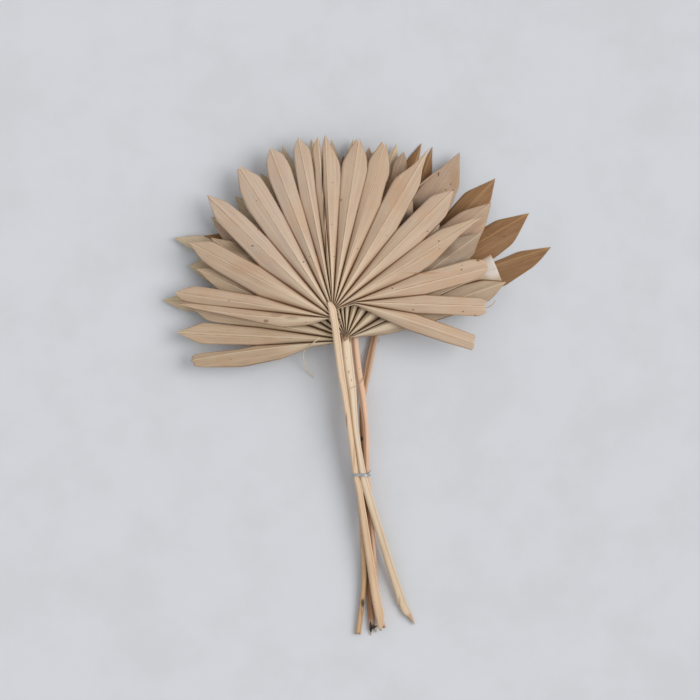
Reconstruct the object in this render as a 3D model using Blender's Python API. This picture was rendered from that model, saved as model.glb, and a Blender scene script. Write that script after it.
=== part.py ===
"""A tied bunch of five dried fan palm leaves, laid down on a flat surface.

Each leaf is one grown piece: a pleated blade, whose leaflets are cut to points,
on its own stem. A metal strip holds the five stems together.

+X is the right of the bunch, +Y runs from the cut stem ends to the leaf tips and
+Z points away from the surface. The origin is the middle of the bunch's outline,
on the surface. Sizes and places are in millimetres until a mesh is made.
"""

import math
import random

import bmesh
import bpy
from mathutils import Vector

MM = 0.001

# The blade
BLADE_THICKNESS = 0.7
STEEPEST_HALF_THICKNESS = 1.0
ROOT_REACH = 3.5
FOLD_HEIGHTS = ((3.5, 0.0), (12.0, 1.6), (40.0, 2.3), (105.0, 2.3), (150.0, 1.1), (200.0, 0.8))
FOLD_STATIONS = (12.0, 40.0, 80.0)
LEAST_STATION_GAP = 8.0
SPINE_SETBACK = 34.0
TIP_FOLD = 0.3
SHOULDER_SETBACK = 23.0
HALF_WIDTH = 12.5
NEIGHBOUR_GAP = 0.8
SPLIT_DEPTH = 10.0
SPLIT_DEPTH_PER_GAP = 1.6
DEEPEST_SPLIT = 45.0

# How unevenly the covered leaflets are spread, in degrees and millimetres
COVERED_SWAY = 0.8
COVERED_SHORTEST = -6.0
COVERED_LONGEST = 4.0

# The stack of leaves
DROOP_CENTRE = (0.0, 78.0)
DROOP_REACH = 170.0
LOWEST_HUB = 3.5
LAYER_PITCH = 9.5
LOWEST_DROOP = 3.0
LAYER_DROOP = 3.0

# The stems and the knot where the leaflets meet
STEM_SIDES = 8
KNOT_HALF_WIDTH = 5.0
KNOT_HALF_HEIGHT = 3.9
KNOT_HALF_LENGTH = 3.0
KNOT_BEFORE = 7.0
KNOT_BEYOND = 5.0
KNOT_TAPER = 1.12

# The tie
TIE_Y = -89.0
TIE_WIDTH = 2.8
TIE_THICKNESS = 0.6
TIE_CLEARANCE = 0.45
TIE_SAMPLES = 28
TIE_END_START = (7.0, -88.6, 24.6)
TIE_END_TIP = (12.9, -84.8, 24.4)
TIE_END_WIDTH = 1.6
TIE_END_THICKNESS = 0.8
TIE_COLOUR = (0.45, 0.47, 0.49)
TIE_ROUGHNESS = 0.35

SEED = 11


def bearing(point):
    """Direction of a point from the hub, in degrees anticlockwise from +X, up to 270."""
    angle = math.degrees(math.atan2(point[1], point[0]))
    return angle + 360.0 if angle < -90.0 else angle


def reach(point, start=(0.0, 0.0)):
    """Distance between two points in plan."""
    return math.hypot(point[0] - start[0], point[1] - start[1])


def between(a, b, share):
    """The point a given share of the way from a to b."""
    return tuple(p + (q - p) * share for p, q in zip(a, b))


def at_bearing(angle, distance):
    """The point at a bearing in degrees and a distance from the hub."""
    return (distance * math.cos(math.radians(angle)), distance * math.sin(math.radians(angle)))


def curve_height(points, where):
    """Height of a line of (place, height) points at a place, level past its ends."""
    if where <= points[0][0]:
        return points[0][1]
    for (x0, y0), (x1, y1) in zip(points, points[1:]):
        if where <= x1:
            return y0 + (y1 - y0) * (where - x0) / (x1 - x0)
    return points[-1][1]


class Leaflet:
    """One leaflet, in plan from its leaf's hub, with its sides named looking outward.

    left and right are the outline's corners from the split to the tip, split is
    where it parts from the next leaflet clockwise, bow is how far the midrib bends
    to the left at its middle, and neck is a place near the hub where it is pinched.
    """

    def __init__(self, tip, left=(), right=(), split=None, bow=0.0, neck=None):
        self.tip = tip
        self.left = list(left)
        self.right = list(right)
        self.split = split
        self.bow = bow
        self.neck = neck


class Covered:
    """A run of leaflets that the leaves in front cover, evenly spread in their gap."""

    def __init__(self, count, distance):
        self.count = count
        self.distance = distance


class Leaf:
    """One leaf: where its hub is, its leaflets clockwise from the lower left, and its stem.

    roots says where the folds start, from the hub: places along the leaf's row of
    folds, from 0 at its first to 1 at its last, each with a point. The stem is a
    list of (x, y, z, half width, half height) in the bunch's frame, from below the
    knot to the cut end.
    """

    def __init__(self, name, hub, layer, roots, leaflets, stem, look):
        self.name = name
        self.hub = hub
        self.layer = layer
        self.roots = roots
        self.leaflets = leaflets
        self.stem = stem
        self.look = look

    def mean_height(self, x, y):
        """Height of the blade's middle surface, which droops towards its rim."""
        droop = LOWEST_DROOP + LAYER_DROOP * self.layer
        span = reach((x, y), DROOP_CENTRE) / DROOP_REACH
        return LOWEST_HUB + LAYER_PITCH * self.layer - droop * span**2

    def hub_height(self):
        """Height of the hub's centre."""
        return self.mean_height(*self.hub)


FRONT_LEAF = Leaf(
    name="leaf_front",
    hub=(-24.0, 76.0),
    layer=4,
    roots=((0.12, (-1.8, -8.0)), (0.35, (0.0, 0.0))),
    leaflets=[
        Leaflet((-154.5, 6.0), [(-22, -14.5), (-50, -17.5), (-118, -3)], [(-148, 7.2)], (-136, 6.2), 5),
        Leaflet((-157, 17), [(-153, 10)], [(-127, 22.5), (-142, 24)], (-74.8, 14.3), -1),
        Leaflet((-142.8, 67.1), [(-120, 41), (-133, 51)], [(-121.8, 69)], (-73.3, 43.7)),
        Leaflet((-125, 114.3), [(-118, 90.7)], [(-88.6, 94.5), (-106.5, 108.6)], (-64.8, 71.6)),
        Leaflet((-93.7, 143.6), [(-86, 101), (-93.7, 120)], [(-65.7, 122.6), (-73.3, 134.1)], (-49, 94)),
        Leaflet((-62.5, 160.9), [(-65, 132.8), (-67, 148.1)], [(-42.4, 143), (-50.3, 157)], (-33, 112)),
        Leaflet((-34.4, 171.7), [(-37.5, 140), (-40, 161)], [(-19.7, 141.7), (-23, 161)], (-17.5, 122)),
        Leaflet((-15, 172.3), [(-18, 142), (-21.3, 160.9)], [(-12.5, 164)], (-10.3, 122)),
        Leaflet((-7.6, 174.3), [(-10.8, 165)], [(7, 147)], (7.8, 134)),
        Leaflet((26.3, 171), [(9, 148)], [(34, 153.1)], (34.4, 139)),
        Leaflet((52.6, 167.3), [(35.4, 149.9)], [(52.3, 125.3), (56.5, 135.5), (56.5, 147)], (47.5, 105.4)),
        Leaflet((95.7, 161), [(61.2, 131.6), (81.6, 146.3)], [(87.4, 125.9), (89, 140)], (63.8, 80.5)),
        Leaflet((120.5, 119.8), [(78.5, 95), (98.2, 114.4)], [(113.7, 94.6)], (88.5, 68.5)),
        Leaflet((148, 92), [(107.8, 81), (141, 91.6)], [(98.6, 45.3), (127, 75.1)], (86.5, 37)),
        Leaflet(
            (155, 42.1),
            [(138, 50.9), (153, 49.8)],
            [(139.6, 29.5), (150.9, 35.8)],
            (92.1, 15.5),
            neck=(22, 8.6),
        ),
        Leaflet(
            (153.5, 2.5),
            [(149.5, 11.9), (154.1, 8.8)],
            [(104.4, -4.2), (147.2, -6.5)],
            (82.2, -3.5),
            neck=(22, 7.5),
        ),
        Leaflet(
            (140.5, -33.3),
            [(120.4, -17.2), (142.6, -25.6)],
            [(22, 5.4), (47, -7.3), (77.6, -21), (112, -32.5), (139.5, -40.2)],
            bow=1,
            neck=(22, 6.4),
        ),
    ],
    stem=[
        (-22.2, 59, 41.2, 3.3, 2.8),
        (-19.0, 37, 38.2, 3.2, 2.7),
        (-12.6, -4, 32.6, 2.8, 2.7),
        (-7.2, -44, 26.8, 2.7, 2.7),
        (-0.9, -89, 21.1, 3.1, 2.7),
        (3.1, -109, 19.4, 3.3, 2.8),
        (17.6, -204, 11.8, 3.8, 2.9),
        (22.0, -227, 9.9, 4.3, 2.9),
        (23.4, -244, 9.0, 1.2, 1.6),
    ],
    look=((0.62, 0.45, 0.29), 0.78),
)

SECOND_LEAF = Leaf(
    name="leaf_second",
    hub=(-11.0, 48.0),
    layer=3,
    roots=((0.0, (-3.5, -4.0)), (0.2, (0.0, 0.0)), (0.8, (0.0, 0.0)), (1.0, (3.0, 0.0))),
    leaflets=[
        Leaflet(
            (-155.5, -22.5),
            [(-37, -9.6), (-64, -21), (-103, -29), (-147, -29.5)],
            [(-110, -11.6), (-153.4, -17.3)],
            (-90, -7.5),
            -2.5,
        ),
        Leaflet((-168.5, 5.5), [(-117, -6.7), (-146.5, -6)], [(-150.3, 13.2)], (-86, 10.6)),
        Leaflet((-152.2, 29.7), [(-122.2, 14.4), (-138.8, 17)]),
        Leaflet((-148.8, 69), [(-130, 49.7)]),
        Leaflet((-134, 99.6)),
        Covered(7, 150.0),
        Leaflet((134.4, 104.5), right=[(125.2, 80), (133, 100)]),
        Leaflet((150.4, 70), [(139, 80), (144.2, 83.4)], [(134, 58.5), (155.8, 58.3)], (116, 50)),
        Leaflet((158.9, 55.4), [(137, 54.2)], [(39.6, 3.3), (64, 9), (106, 22.3), (144, 37)]),
    ],
    stem=[
        (-9.8, 36, 31.8, 4.2, 2.8),
        (-8.4, 18, 30.2, 3.8, 2.8),
        (-4.0, -10, 27.6, 3.3, 2.7),
        (-1.1, -44, 24.6, 2.7, 2.7),
        (2.6, -68, 22.4, 2.9, 2.7),
        (6.2, -89, 21.1, 3.4, 2.7),
        (11.3, -109, 19.4, 3.6, 2.7),
        (40.8, -204, 6.6, 4.0, 2.9),
        (47.3, -222, 3.6, 4.2, 2.9),
        (57.2, -238, 1.9, 0.8, 1.3),
    ],
    look=((0.60, 0.46, 0.33), 0.8),
)

MIDDLE_LEAF = Leaf(
    name="leaf_middle",
    hub=(-4.0, 74.0),
    layer=2,
    roots=((0.0, (-3.0, -3.0)), (0.2, (0.0, 0.0)), (0.8, (0.0, 0.0)), (1.0, (3.0, -3.0))),
    leaflets=[
        Leaflet((-124, -16)),
        Covered(2, 130.0),
        Leaflet((-138.6, 87.6)),
        Covered(4, 148.0),
        Leaflet((16.1, 163.8)),
        Leaflet((50.2, 159.1), [(38, 135.5), (40.6, 150.2)], [(54.6, 150.2)]),
        Leaflet((106, 158.8), [(67.4, 126), (80.8, 138.7)], [(97.4, 103), (106.3, 126), (106.9, 154.7)]),
        Leaflet((137.6, 108.8), [(108, 100.5)], [(120.5, 56), (126, 72), (132.5, 86)]),
        Leaflet((122, 36)),
        Leaflet((118, 12)),
    ],
    stem=[
        (-3.0, 62, 22.2, 3.1, 2.6),
        (-2.0, 47, 21.5, 3.0, 2.6),
        (0.0, 26, 20.6, 3.0, 2.6),
        (3.6, 1, 19.4, 3.2, 2.6),
        (6.6, -22, 18.3, 3.0, 2.6),
        (9.2, -48, 17.2, 2.7, 2.6),
        (9.7, -89, 15.3, 2.8, 2.6),
        (12.3, -109, 13.6, 2.8, 2.6),
        (17.6, -174, 7.6, 2.8, 2.6),
        (22.5, -214, 4.2, 2.8, 2.6),
        (27.3, -242, 2.4, 1.4, 2.6),
    ],
    look=((0.52, 0.39, 0.28), 0.82),
)

FOURTH_LEAF = Leaf(
    name="leaf_fourth",
    hub=(-19.0, 86.0),
    layer=1,
    roots=((0.0, (-3.0, -3.0)), (0.2, (0.0, 0.0)), (0.8, (0.0, 0.0)), (1.0, (3.0, -3.0))),
    leaflets=[
        Leaflet((-118, -36)),
        Leaflet((-174.2, 0), [(-144.2, -12.1), (-158.2, -9.5)], [(-161.4, 4.4)]),
        Leaflet((-148, 33.5), right=[(-136, 41)]),
        Leaflet((-163.1, 61.6), [(-146, 50)]),
        Covered(3, 150.0),
        Leaflet((-55.3, 153.4), right=[(-46.4, 140.7)]),
        Leaflet((-26.6, 159.8)),
        Leaflet((-6, 159.5)),
        Leaflet((15.4, 160.5)),
        Covered(1, 150.0),
        Leaflet((58.1, 154.8)),
        Covered(4, 138.0),
        Leaflet((126, 4)),
    ],
    stem=[
        (-17.6, 72, 12.4, 2.9, 2.6),
        (-14.5, 36, 13.0, 2.8, 2.6),
        (-8.6, -6, 14.2, 2.7, 2.6),
        (-3.4, -50, 15.2, 2.7, 2.6),
        (1.1, -89, 15.4, 2.8, 2.6),
        (2.9, -109, 13.4, 2.8, 2.6),
        (7.2, -174, 9.4, 2.8, 2.6),
        (6.4, -204, 6.6, 2.6, 2.6),
        (1.1, -247.5, 2.4, 2.7, 2.6),
    ],
    look=((0.50, 0.41, 0.26), 0.82),
)

BACK_LEAF = Leaf(
    name="leaf_back",
    hub=(24.0, 86.0),
    layer=0,
    roots=((0.0, (-3.0, -3.0)), (0.2, (0.0, 0.0)), (0.8, (0.0, 0.0)), (1.0, (3.0, -3.0))),
    leaflets=[
        Leaflet((-146, -18)),
        Covered(1, 152.0),
        Leaflet((-176, 64)),
        Leaflet((-137.2, 100.5)),
        Leaflet((-115, 119)),
        Covered(3, 148.0),
        Leaflet((40.2, 155.5), [(26, 140.5)], [(38, 142)], bow=3),
        Leaflet((51.2, 151.8), [(38, 130)], [(51.2, 126), (51, 144)]),
        Covered(1, 140.0),
        Leaflet((113.4, 120.5), [(70, 91.4), (84.3, 107.8)], [(109.2, 96)]),
        Leaflet((147.1, 86.3), [(105.7, 74), (114.9, 79.7)], [(112.7, 41.2), (131.6, 56), (137.2, 65.1)]),
        Leaflet((169, 52.7), [(113.4, 38), (137.4, 48.6)], [(122, 13), (152.7, 33.3), (160.8, 41.4)]),
        Leaflet((106, 3)),
    ],
    stem=[
        (21.2, 72, 3.3, 3.1, 2.7),
        (16.8, 48, 4.2, 3.1, 2.7),
        (10.7, 19, 5.6, 3.1, 2.7),
        (7.0, -4, 6.6, 2.9, 2.6),
        (4.7, -22, 7.4, 2.6, 2.6),
        (5.2, -44, 8.2, 2.6, 2.6),
        (8.0, -74, 9.3, 2.7, 2.6),
        (8.3, -89, 9.7, 2.7, 2.6),
        (9.3, -120, 7.2, 2.7, 2.6),
        (10.5, -160, 4.0, 2.8, 2.6),
        (11.8, -204, 2.5, 2.9, 2.6),
        (15.4, -249, 2.4, 3.0, 2.6),
    ],
    look=((0.33, 0.21, 0.11), 0.75),
)

LEAVES = (FRONT_LEAF, SECOND_LEAF, MIDDLE_LEAF, FOURTH_LEAF, BACK_LEAF)


def spread_covered(leaf, rng):
    """The leaf's leaflets with each covered run replaced by leaflets of its own."""
    row = []
    for index, item in enumerate(leaf.leaflets):
        if isinstance(item, Leaflet):
            row.append(item)
            continue
        start = bearing(leaf.leaflets[index - 1].tip)
        end = bearing(leaf.leaflets[index + 1].tip)
        for step in range(1, item.count + 1):
            angle = start + (end - start) * step / (item.count + 1)
            angle += rng.uniform(-COVERED_SWAY, COVERED_SWAY)
            length = item.distance + rng.uniform(COVERED_SHORTEST, COVERED_LONGEST)
            row.append(Leaflet(at_bearing(angle, length)))
    return row


def half_width(one, other):
    """Half the width that two neighbouring leaflets each have room for at their shoulders."""
    if other is None:
        return HALF_WIDTH
    gap = math.radians(abs(bearing(one.tip) - bearing(other.tip)))
    room = gap * (min(reach(one.tip), reach(other.tip)) - SHOULDER_SETBACK)
    return min(HALF_WIDTH, room / 2.0 - NEIGHBOUR_GAP)


def shoulder(leaflet, side, width):
    """The corner where the straight cut to the tip starts, on the left (1) or right (-1)."""
    length = reach(leaflet.tip)
    out = (leaflet.tip[0] / length, leaflet.tip[1] / length)
    return (
        leaflet.tip[0] - out[0] * SHOULDER_SETBACK - out[1] * width * side,
        leaflet.tip[1] - out[1] * SHOULDER_SETBACK + out[0] * width * side,
    )


def complete(leaf, rng):
    """Every leaflet of the leaf with its shoulders and splits worked out."""
    row = spread_covered(leaf, rng)
    for before, here, after in zip([None] + row[:-1], row, row[1:] + [None]):
        if not here.left:
            here.left = [shoulder(here, 1, half_width(here, before))]
        if not here.right:
            here.right = [shoulder(here, -1, half_width(here, after))]
    for here, after in zip(row, row[1:]):
        if here.split is None:
            corner, facing = here.right[0], after.left[0]
            depth = min(DEEPEST_SPLIT, SPLIT_DEPTH + SPLIT_DEPTH_PER_GAP * reach(corner, facing))
            distance = min(reach(corner), reach(facing)) - depth
            here.split = at_bearing((bearing(corner) + bearing(facing)) / 2.0, distance)
    return row


def root_of(leaf, share):
    """Where a fold meets the hub, which is on the stem's sides for the outermost ones."""
    across = curve_height([(place, point[0]) for place, point in leaf.roots], share)
    along = curve_height([(place, point[1]) for place, point in leaf.roots], share)
    return (across, along)


def fold_line(root, end, bow=0.0, neck=None, setback=None):
    """Points along a fold from the hub to its end, through its neck, bent left by bow."""
    if neck:
        near = [between(root, neck, ROOT_REACH / reach(neck, root)), between(root, neck, 0.5)]
        start, stations = neck, [0.0]
    else:
        near = []
        start, stations = root, [ROOT_REACH, FOLD_STATIONS[0]]
    length = reach(end, start)
    last = length - (setback or 0.0)
    stations += [here for here in FOLD_STATIONS[1:] if here < last - LEAST_STATION_GAP]
    stations += [last, length] if setback else [length]
    across = (-(end[1] - start[1]) / length, (end[0] - start[0]) / length)
    points = []
    for station in stations:
        share = station / length
        side = 4.0 * bow * share * (1.0 - share)
        x, y = between(start, end, share)
        points.append((x + across[0] * side, y + across[1] * side))
    return near + points


def shared_neck(one, other):
    """The neck of the margin between two leaflets, where both have one."""
    return between(one.neck, other.neck, 0.5) if one.neck and other.neck else None


class Surface:
    """The middle surface of a blade: points with a fold sign, and triangles in plan."""

    def __init__(self, leaf):
        self.leaf = leaf
        self.points = []
        self.triangles = []

    def add(self, point, fold):
        """Add a point in plan from the hub, at the fold's ridge (1), valley (-1) or between."""
        height = curve_height(FOLD_HEIGHTS, reach(point))
        x, y = point[0] + self.leaf.hub[0], point[1] + self.leaf.hub[1]
        self.points.append(Vector((x, y, self.leaf.mean_height(x, y) + fold * height)))
        return len(self.points) - 1

    def line(self, points, fold):
        """Add a row of points and give back their indices."""
        return [self.add(point, fold) for point in points]

    def zip_lines(self, left, right):
        """Fill the strip between two lines that run outward with triangles."""
        start = Vector((self.leaf.hub[0], self.leaf.hub[1]))
        i = j = 0
        while i + 1 < len(left) or j + 1 < len(right):
            far_left = i + 1 == len(left)
            far_right = j + 1 == len(right)
            if not (far_left or far_right):
                reach_left = (self.points[left[i + 1]].xy - start).length
                reach_right = (self.points[right[j + 1]].xy - start).length
                far_left = reach_left > reach_right
            if far_left:
                corners = (left[i], right[j], right[j + 1])
                j += 1
            else:
                corners = (left[i], right[j], left[i + 1])
                i += 1
            if len(set(corners)) == 3:
                self.triangles.append(corners)


def outermost_margin(root, corners):
    """The first or last leaflet's outer edge, from its root on the stem's side."""
    away = reach(corners[0], root)
    return [between(root, corners[0], ROOT_REACH / away)] + list(corners)


def blade_surface(leaf, row):
    """The pleated middle surface of a leaf: a ridge at each midrib, a valley at each margin."""
    surface = Surface(leaf)
    folds = 2 * len(row)
    roots = [root_of(leaf, index / folds) for index in range(folds + 1)]
    margins = [
        fold_line(roots[2 * n + 2], row[n].split, neck=shared_neck(row[n], row[n + 1]))
        for n in range(len(row) - 1)
    ]
    shared = [surface.line(points, -1.0) for points in margins]
    first = surface.line(outermost_margin(roots[0], row[0].left), -1.0)
    last = surface.line(outermost_margin(roots[folds], row[-1].right), -1.0)
    for n, item in enumerate(row):
        spine = fold_line(roots[2 * n + 1], item.tip, item.bow, item.neck, SPINE_SETBACK)
        spine_ids = surface.line(spine[:-1], 1.0) + surface.line(spine[-1:], TIP_FOLD)
        tip = spine_ids[-1]
        if n == 0:
            left_ids = first + [tip]
        else:
            left_ids = shared[n - 1] + surface.line(item.left, -1.0) + [tip]
        if n == len(row) - 1:
            right_ids = last + [tip]
        else:
            right_ids = shared[n] + surface.line(item.right, -1.0) + [tip]
        surface.zip_lines(left_ids, spine_ids)
        surface.zip_lines(spine_ids, right_ids)
    return surface


def thicken(surface):
    """Vertices and faces of the closed blade, as thick across every facet as the leaf is."""
    count = len(surface.points)
    half = [BLADE_THICKNESS / 2.0] * count
    least_slope = BLADE_THICKNESS / 2.0 / STEEPEST_HALF_THICKNESS
    triangles = []
    for a, b, c in surface.triangles:
        pa, pb, pc = (surface.points[k] for k in (a, b, c))
        normal = (pb - pa).cross(pc - pa)
        if normal.z < 0.0:
            b, c, normal = c, b, -normal
        triangles.append((a, b, c))
        needed = BLADE_THICKNESS / 2.0 / max(normal.normalized().z, least_slope)
        for k in (a, b, c):
            half[k] = max(half[k], needed)
    top, bottom = [], []
    for point, thickness in zip(surface.points, half):
        z = max(point.z, thickness)
        top.append(Vector((point.x, point.y, z + thickness)))
        bottom.append(Vector((point.x, point.y, z - thickness)))
    faces = list(triangles) + [(a + count, c + count, b + count) for a, b, c in triangles]
    edges = {(a, b) for t in triangles for a, b in zip(t, t[1:] + t[:1])}
    for a, b in sorted(edges):
        if (b, a) not in edges:
            faces.append((b, a, a + count))
            faces.append((b, a + count, b + count))
    return top + bottom, faces


def ring_around(centre, forward, half_wide, half_high):
    """The corners of one flat-bottomed ring of a stem, which never dips below the surface."""
    side = Vector((-forward.y, forward.x, 0.0)).normalized()
    up = forward.cross(side)
    up = up if up.z > 0.0 else -up
    corners = []
    for step in range(STEM_SIDES):
        angle = 2.0 * math.pi * (step + 0.5) / STEM_SIDES
        corner = centre + side * half_wide * math.cos(angle) + up * half_high * math.sin(angle)
        corner.z = max(corner.z, 0.0)
        corners.append(corner)
    return corners


def stem_mesh(leaf):
    """Vertices and faces of the stem, from the knot that holds the leaflets to the cut end."""
    hub = Vector((leaf.hub[0], leaf.hub[1], leaf.hub_height()))
    below = Vector(leaf.stem[0][:3])
    wide, high = leaf.stem[0][3:]
    back = (hub - below).normalized()
    sections = [
        (hub + back * KNOT_BEYOND, KNOT_HALF_WIDTH / 2.0, KNOT_HALF_HEIGHT / 2.0),
        (hub + back * KNOT_HALF_LENGTH, KNOT_HALF_WIDTH, KNOT_HALF_HEIGHT),
        (hub - back * KNOT_HALF_LENGTH, KNOT_HALF_WIDTH, KNOT_HALF_HEIGHT),
        (hub - back * KNOT_BEFORE, wide * KNOT_TAPER, high * KNOT_TAPER),
    ]
    sections += [(Vector(row[:3]), row[3], row[4]) for row in leaf.stem]
    vertices, faces = [], []
    for index, (centre, wide, high) in enumerate(sections):
        before = sections[max(index - 1, 0)][0]
        after = sections[min(index + 1, len(sections) - 1)][0]
        vertices += ring_around(centre, (after - before).normalized(), wide, high)
    for ring in range(len(sections) - 1):
        for step in range(STEM_SIDES):
            a = ring * STEM_SIDES + step
            b = ring * STEM_SIDES + (step + 1) % STEM_SIDES
            faces.append((a, b, b + STEM_SIDES, a + STEM_SIDES))
    faces.append(tuple(reversed(range(STEM_SIDES))))
    faces.append(tuple(range(len(vertices) - STEM_SIDES, len(vertices))))
    return vertices, faces


def new_object(name, vertices, faces, material):
    """A named object with its mesh in metres, closed and with its faces pointing out."""
    mesh = bpy.data.meshes.new(name)
    mesh.from_pydata([vertex * MM for vertex in vertices], [], faces)
    shape = bmesh.new()
    shape.from_mesh(mesh)
    bmesh.ops.triangulate(shape, faces=[face for face in shape.faces if len(face.verts) > 3])
    bmesh.ops.recalc_face_normals(shape, faces=shape.faces)
    shape.to_mesh(mesh)
    shape.free()
    mesh.materials.append(material)
    thing = bpy.data.objects.new(name, mesh)
    bpy.context.collection.objects.link(thing)
    return thing


def new_material(name, colour, roughness, metallic=0.0):
    """A plain Principled material."""
    material = bpy.data.materials.new(name)
    material.use_nodes = True
    shader = material.node_tree.nodes["Principled BSDF"]
    shader.inputs["Base Color"].default_value = (*colour, 1.0)
    shader.inputs["Roughness"].default_value = roughness
    shader.inputs["Metallic"].default_value = metallic
    return material


def join_solids(base, other):
    """Fuse another solid into the base with a Boolean union and remove it."""
    union = base.modifiers.new("grown_together", "BOOLEAN")
    union.operation = "UNION"
    union.solver = "EXACT"
    union.object = other
    evaluated = base.evaluated_get(bpy.context.evaluated_depsgraph_get())
    mesh = bpy.data.meshes.new_from_object(evaluated)
    base.modifiers.clear()
    base.data = mesh
    bpy.data.objects.remove(other)


def build_leaf(leaf):
    """One leaf: its pleated blade grown together with its stem."""
    rng = random.Random(SEED + leaf.layer)
    row = complete(leaf, rng)
    material = new_material(leaf.name + "_dry", *leaf.look)
    blade = new_object(leaf.name, *thicken(blade_surface(leaf, row)), material)
    stem = new_object(leaf.name + "_stem", *stem_mesh(leaf), material)
    join_solids(blade, stem)
    return blade


def stem_sections_at_tie():
    """Centre and half sizes of each stem where the tie crosses it, in X and Z."""
    sections = []
    for leaf in LEAVES:
        for before, after in zip(leaf.stem, leaf.stem[1:]):
            if before[1] >= TIE_Y > after[1]:
                share = (before[1] - TIE_Y) / (before[1] - after[1])
                x, _, z, wide, high = between(before, after, share)
                sections.append((x, z, wide, high))
                break
    return sections


def touching_point(section, dx, dz, offset):
    """Where a line at right angles to a direction touches a stem's section, set off from it."""
    x, z, wide, high = section
    size = math.hypot(wide * dx, high * dz)
    return (x + (wide**2 / size + offset) * dx, z + (high**2 / size + offset) * dz)


def tie_loop(offset):
    """Points in X and Z of a band stretched round the stems, an offset clear of them."""
    sections = stem_sections_at_tie()
    loop = []
    for step in range(TIE_SAMPLES):
        angle = 2.0 * math.pi * step / TIE_SAMPLES
        dx, dz = math.cos(angle), math.sin(angle)
        touching = [touching_point(section, dx, dz, offset) for section in sections]
        loop.append(max((x * dx + z * dz, x, z) for x, z in touching)[1:])
    return loop


def tie_end_mesh():
    """Vertices and faces of the strip's free end, a short bar that points up to the right."""
    start, tip = Vector(TIE_END_START), Vector(TIE_END_TIP)
    along = (tip - start).normalized()
    side = Vector((-along.y, along.x, 0.0)).normalized() * TIE_END_WIDTH / 2.0
    up = Vector((0.0, 0.0, TIE_END_THICKNESS / 2.0))
    vertices = []
    for end in (start, tip):
        vertices += [end - side - up, end + side - up, end + side + up, end - side + up]
    faces = [(0, 1, 2, 3), (7, 6, 5, 4)]
    faces += [(n, n + 4, (n + 1) % 4 + 4, (n + 1) % 4) for n in range(4)]
    return vertices, faces


def build_tie():
    """The flat metal strip: a closed band round the stems with a twisted end on its right."""
    material = new_material("tie_metal", TIE_COLOUR, TIE_ROUGHNESS, 1.0)
    vertices, faces = [], []
    for offset in (TIE_CLEARANCE, TIE_CLEARANCE + TIE_THICKNESS):
        for y in (TIE_Y - TIE_WIDTH / 2.0, TIE_Y + TIE_WIDTH / 2.0):
            vertices += [Vector((x, y, z)) for x, z in tie_loop(offset)]
    inner_low, inner_high, outer_low, outer_high = (TIE_SAMPLES * n for n in range(4))
    for step in range(TIE_SAMPLES):
        after = (step + 1) % TIE_SAMPLES
        for a, b in (
            (inner_low, inner_high),
            (inner_high, outer_high),
            (outer_high, outer_low),
            (outer_low, inner_low),
        ):
            faces.append((a + step, b + step, b + after, a + after))
    band = new_object("tie", vertices, faces, material)
    join_solids(band, new_object("tie_end", *tie_end_mesh(), material))
    return band


def clear_scene():
    """Remove what a new file holds."""
    for thing in list(bpy.data.objects):
        bpy.data.objects.remove(thing)


def main():
    """Build the bunch: five leaves and the tie."""
    clear_scene()
    for leaf in LEAVES:
        build_leaf(leaf)
    build_tie()


main()
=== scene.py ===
"""Looks of a tied bunch of dried fan palm leaves, laid flat and seen from straight above.

Each leaf is a thin pleated blade on its own stem. The classes below hold the sizes of the
leaves, stems, tie and threads in millimetres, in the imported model's frame: +X is the right
of the bunch, +Y runs from the stem ends to the leaf tips and +Z points at the camera.
"""

import enum
import logging
import math
import random
from dataclasses import dataclass, field
from typing import Dict, Iterable, List, Optional, Sequence, Tuple, Union

import bpy
import numpy as np
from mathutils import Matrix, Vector


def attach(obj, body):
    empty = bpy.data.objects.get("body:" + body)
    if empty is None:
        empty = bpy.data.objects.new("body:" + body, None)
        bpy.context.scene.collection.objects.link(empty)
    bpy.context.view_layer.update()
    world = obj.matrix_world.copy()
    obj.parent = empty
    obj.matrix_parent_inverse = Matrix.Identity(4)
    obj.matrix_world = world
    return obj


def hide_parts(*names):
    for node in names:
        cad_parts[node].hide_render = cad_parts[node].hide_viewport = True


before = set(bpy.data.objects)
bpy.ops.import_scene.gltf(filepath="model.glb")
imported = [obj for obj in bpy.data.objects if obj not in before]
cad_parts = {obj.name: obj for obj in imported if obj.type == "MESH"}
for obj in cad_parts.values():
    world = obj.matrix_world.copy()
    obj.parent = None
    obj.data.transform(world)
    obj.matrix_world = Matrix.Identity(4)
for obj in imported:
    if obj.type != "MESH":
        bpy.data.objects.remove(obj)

LOG = logging.getLogger("palm_bunch")

MM = 0.001
SEED = 11
# How wide the vein pattern is from a leaflet's rib to its margin, in millimetres.
VEIN_SPAN = 11.0
# Stands for the split's distance from the hub on a margin that no neighbour shares.
FREE_SPLIT = 400.0

Plan = Tuple[float, float]
Point = Tuple[float, float, float]
Colour = Tuple[float, float, float]
Row = Tuple[float, float, float, float, float]
Row4 = Tuple[float, float, float, float]


def bearing(point: Plan) -> float:
    """Direction of a point from the hub.

    Args:
        point: place in plan, from the hub.

    Returns:
        Degrees anticlockwise from +X, from -90 up to 270.
    """
    angle = math.degrees(math.atan2(point[1], point[0]))
    return angle + 360.0 if angle < -90.0 else angle


def reach(point: Plan, start: Plan = (0.0, 0.0)) -> float:
    """Distance between two points in plan.

    Args:
        point: the far point.
        start: the near point, the hub by default.

    Returns:
        The distance in millimetres.
    """
    return math.hypot(point[0] - start[0], point[1] - start[1])


def between(a: Sequence[float], b: Sequence[float], share: float) -> Tuple[float, ...]:
    """The point a given share of the way from a to b.

    Args:
        a: the first point.
        b: the second point.
        share: 0 at a, 1 at b.

    Returns:
        The point, with as many numbers as a.
    """
    return tuple(p + (q - p) * share for p, q in zip(a, b))


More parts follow.
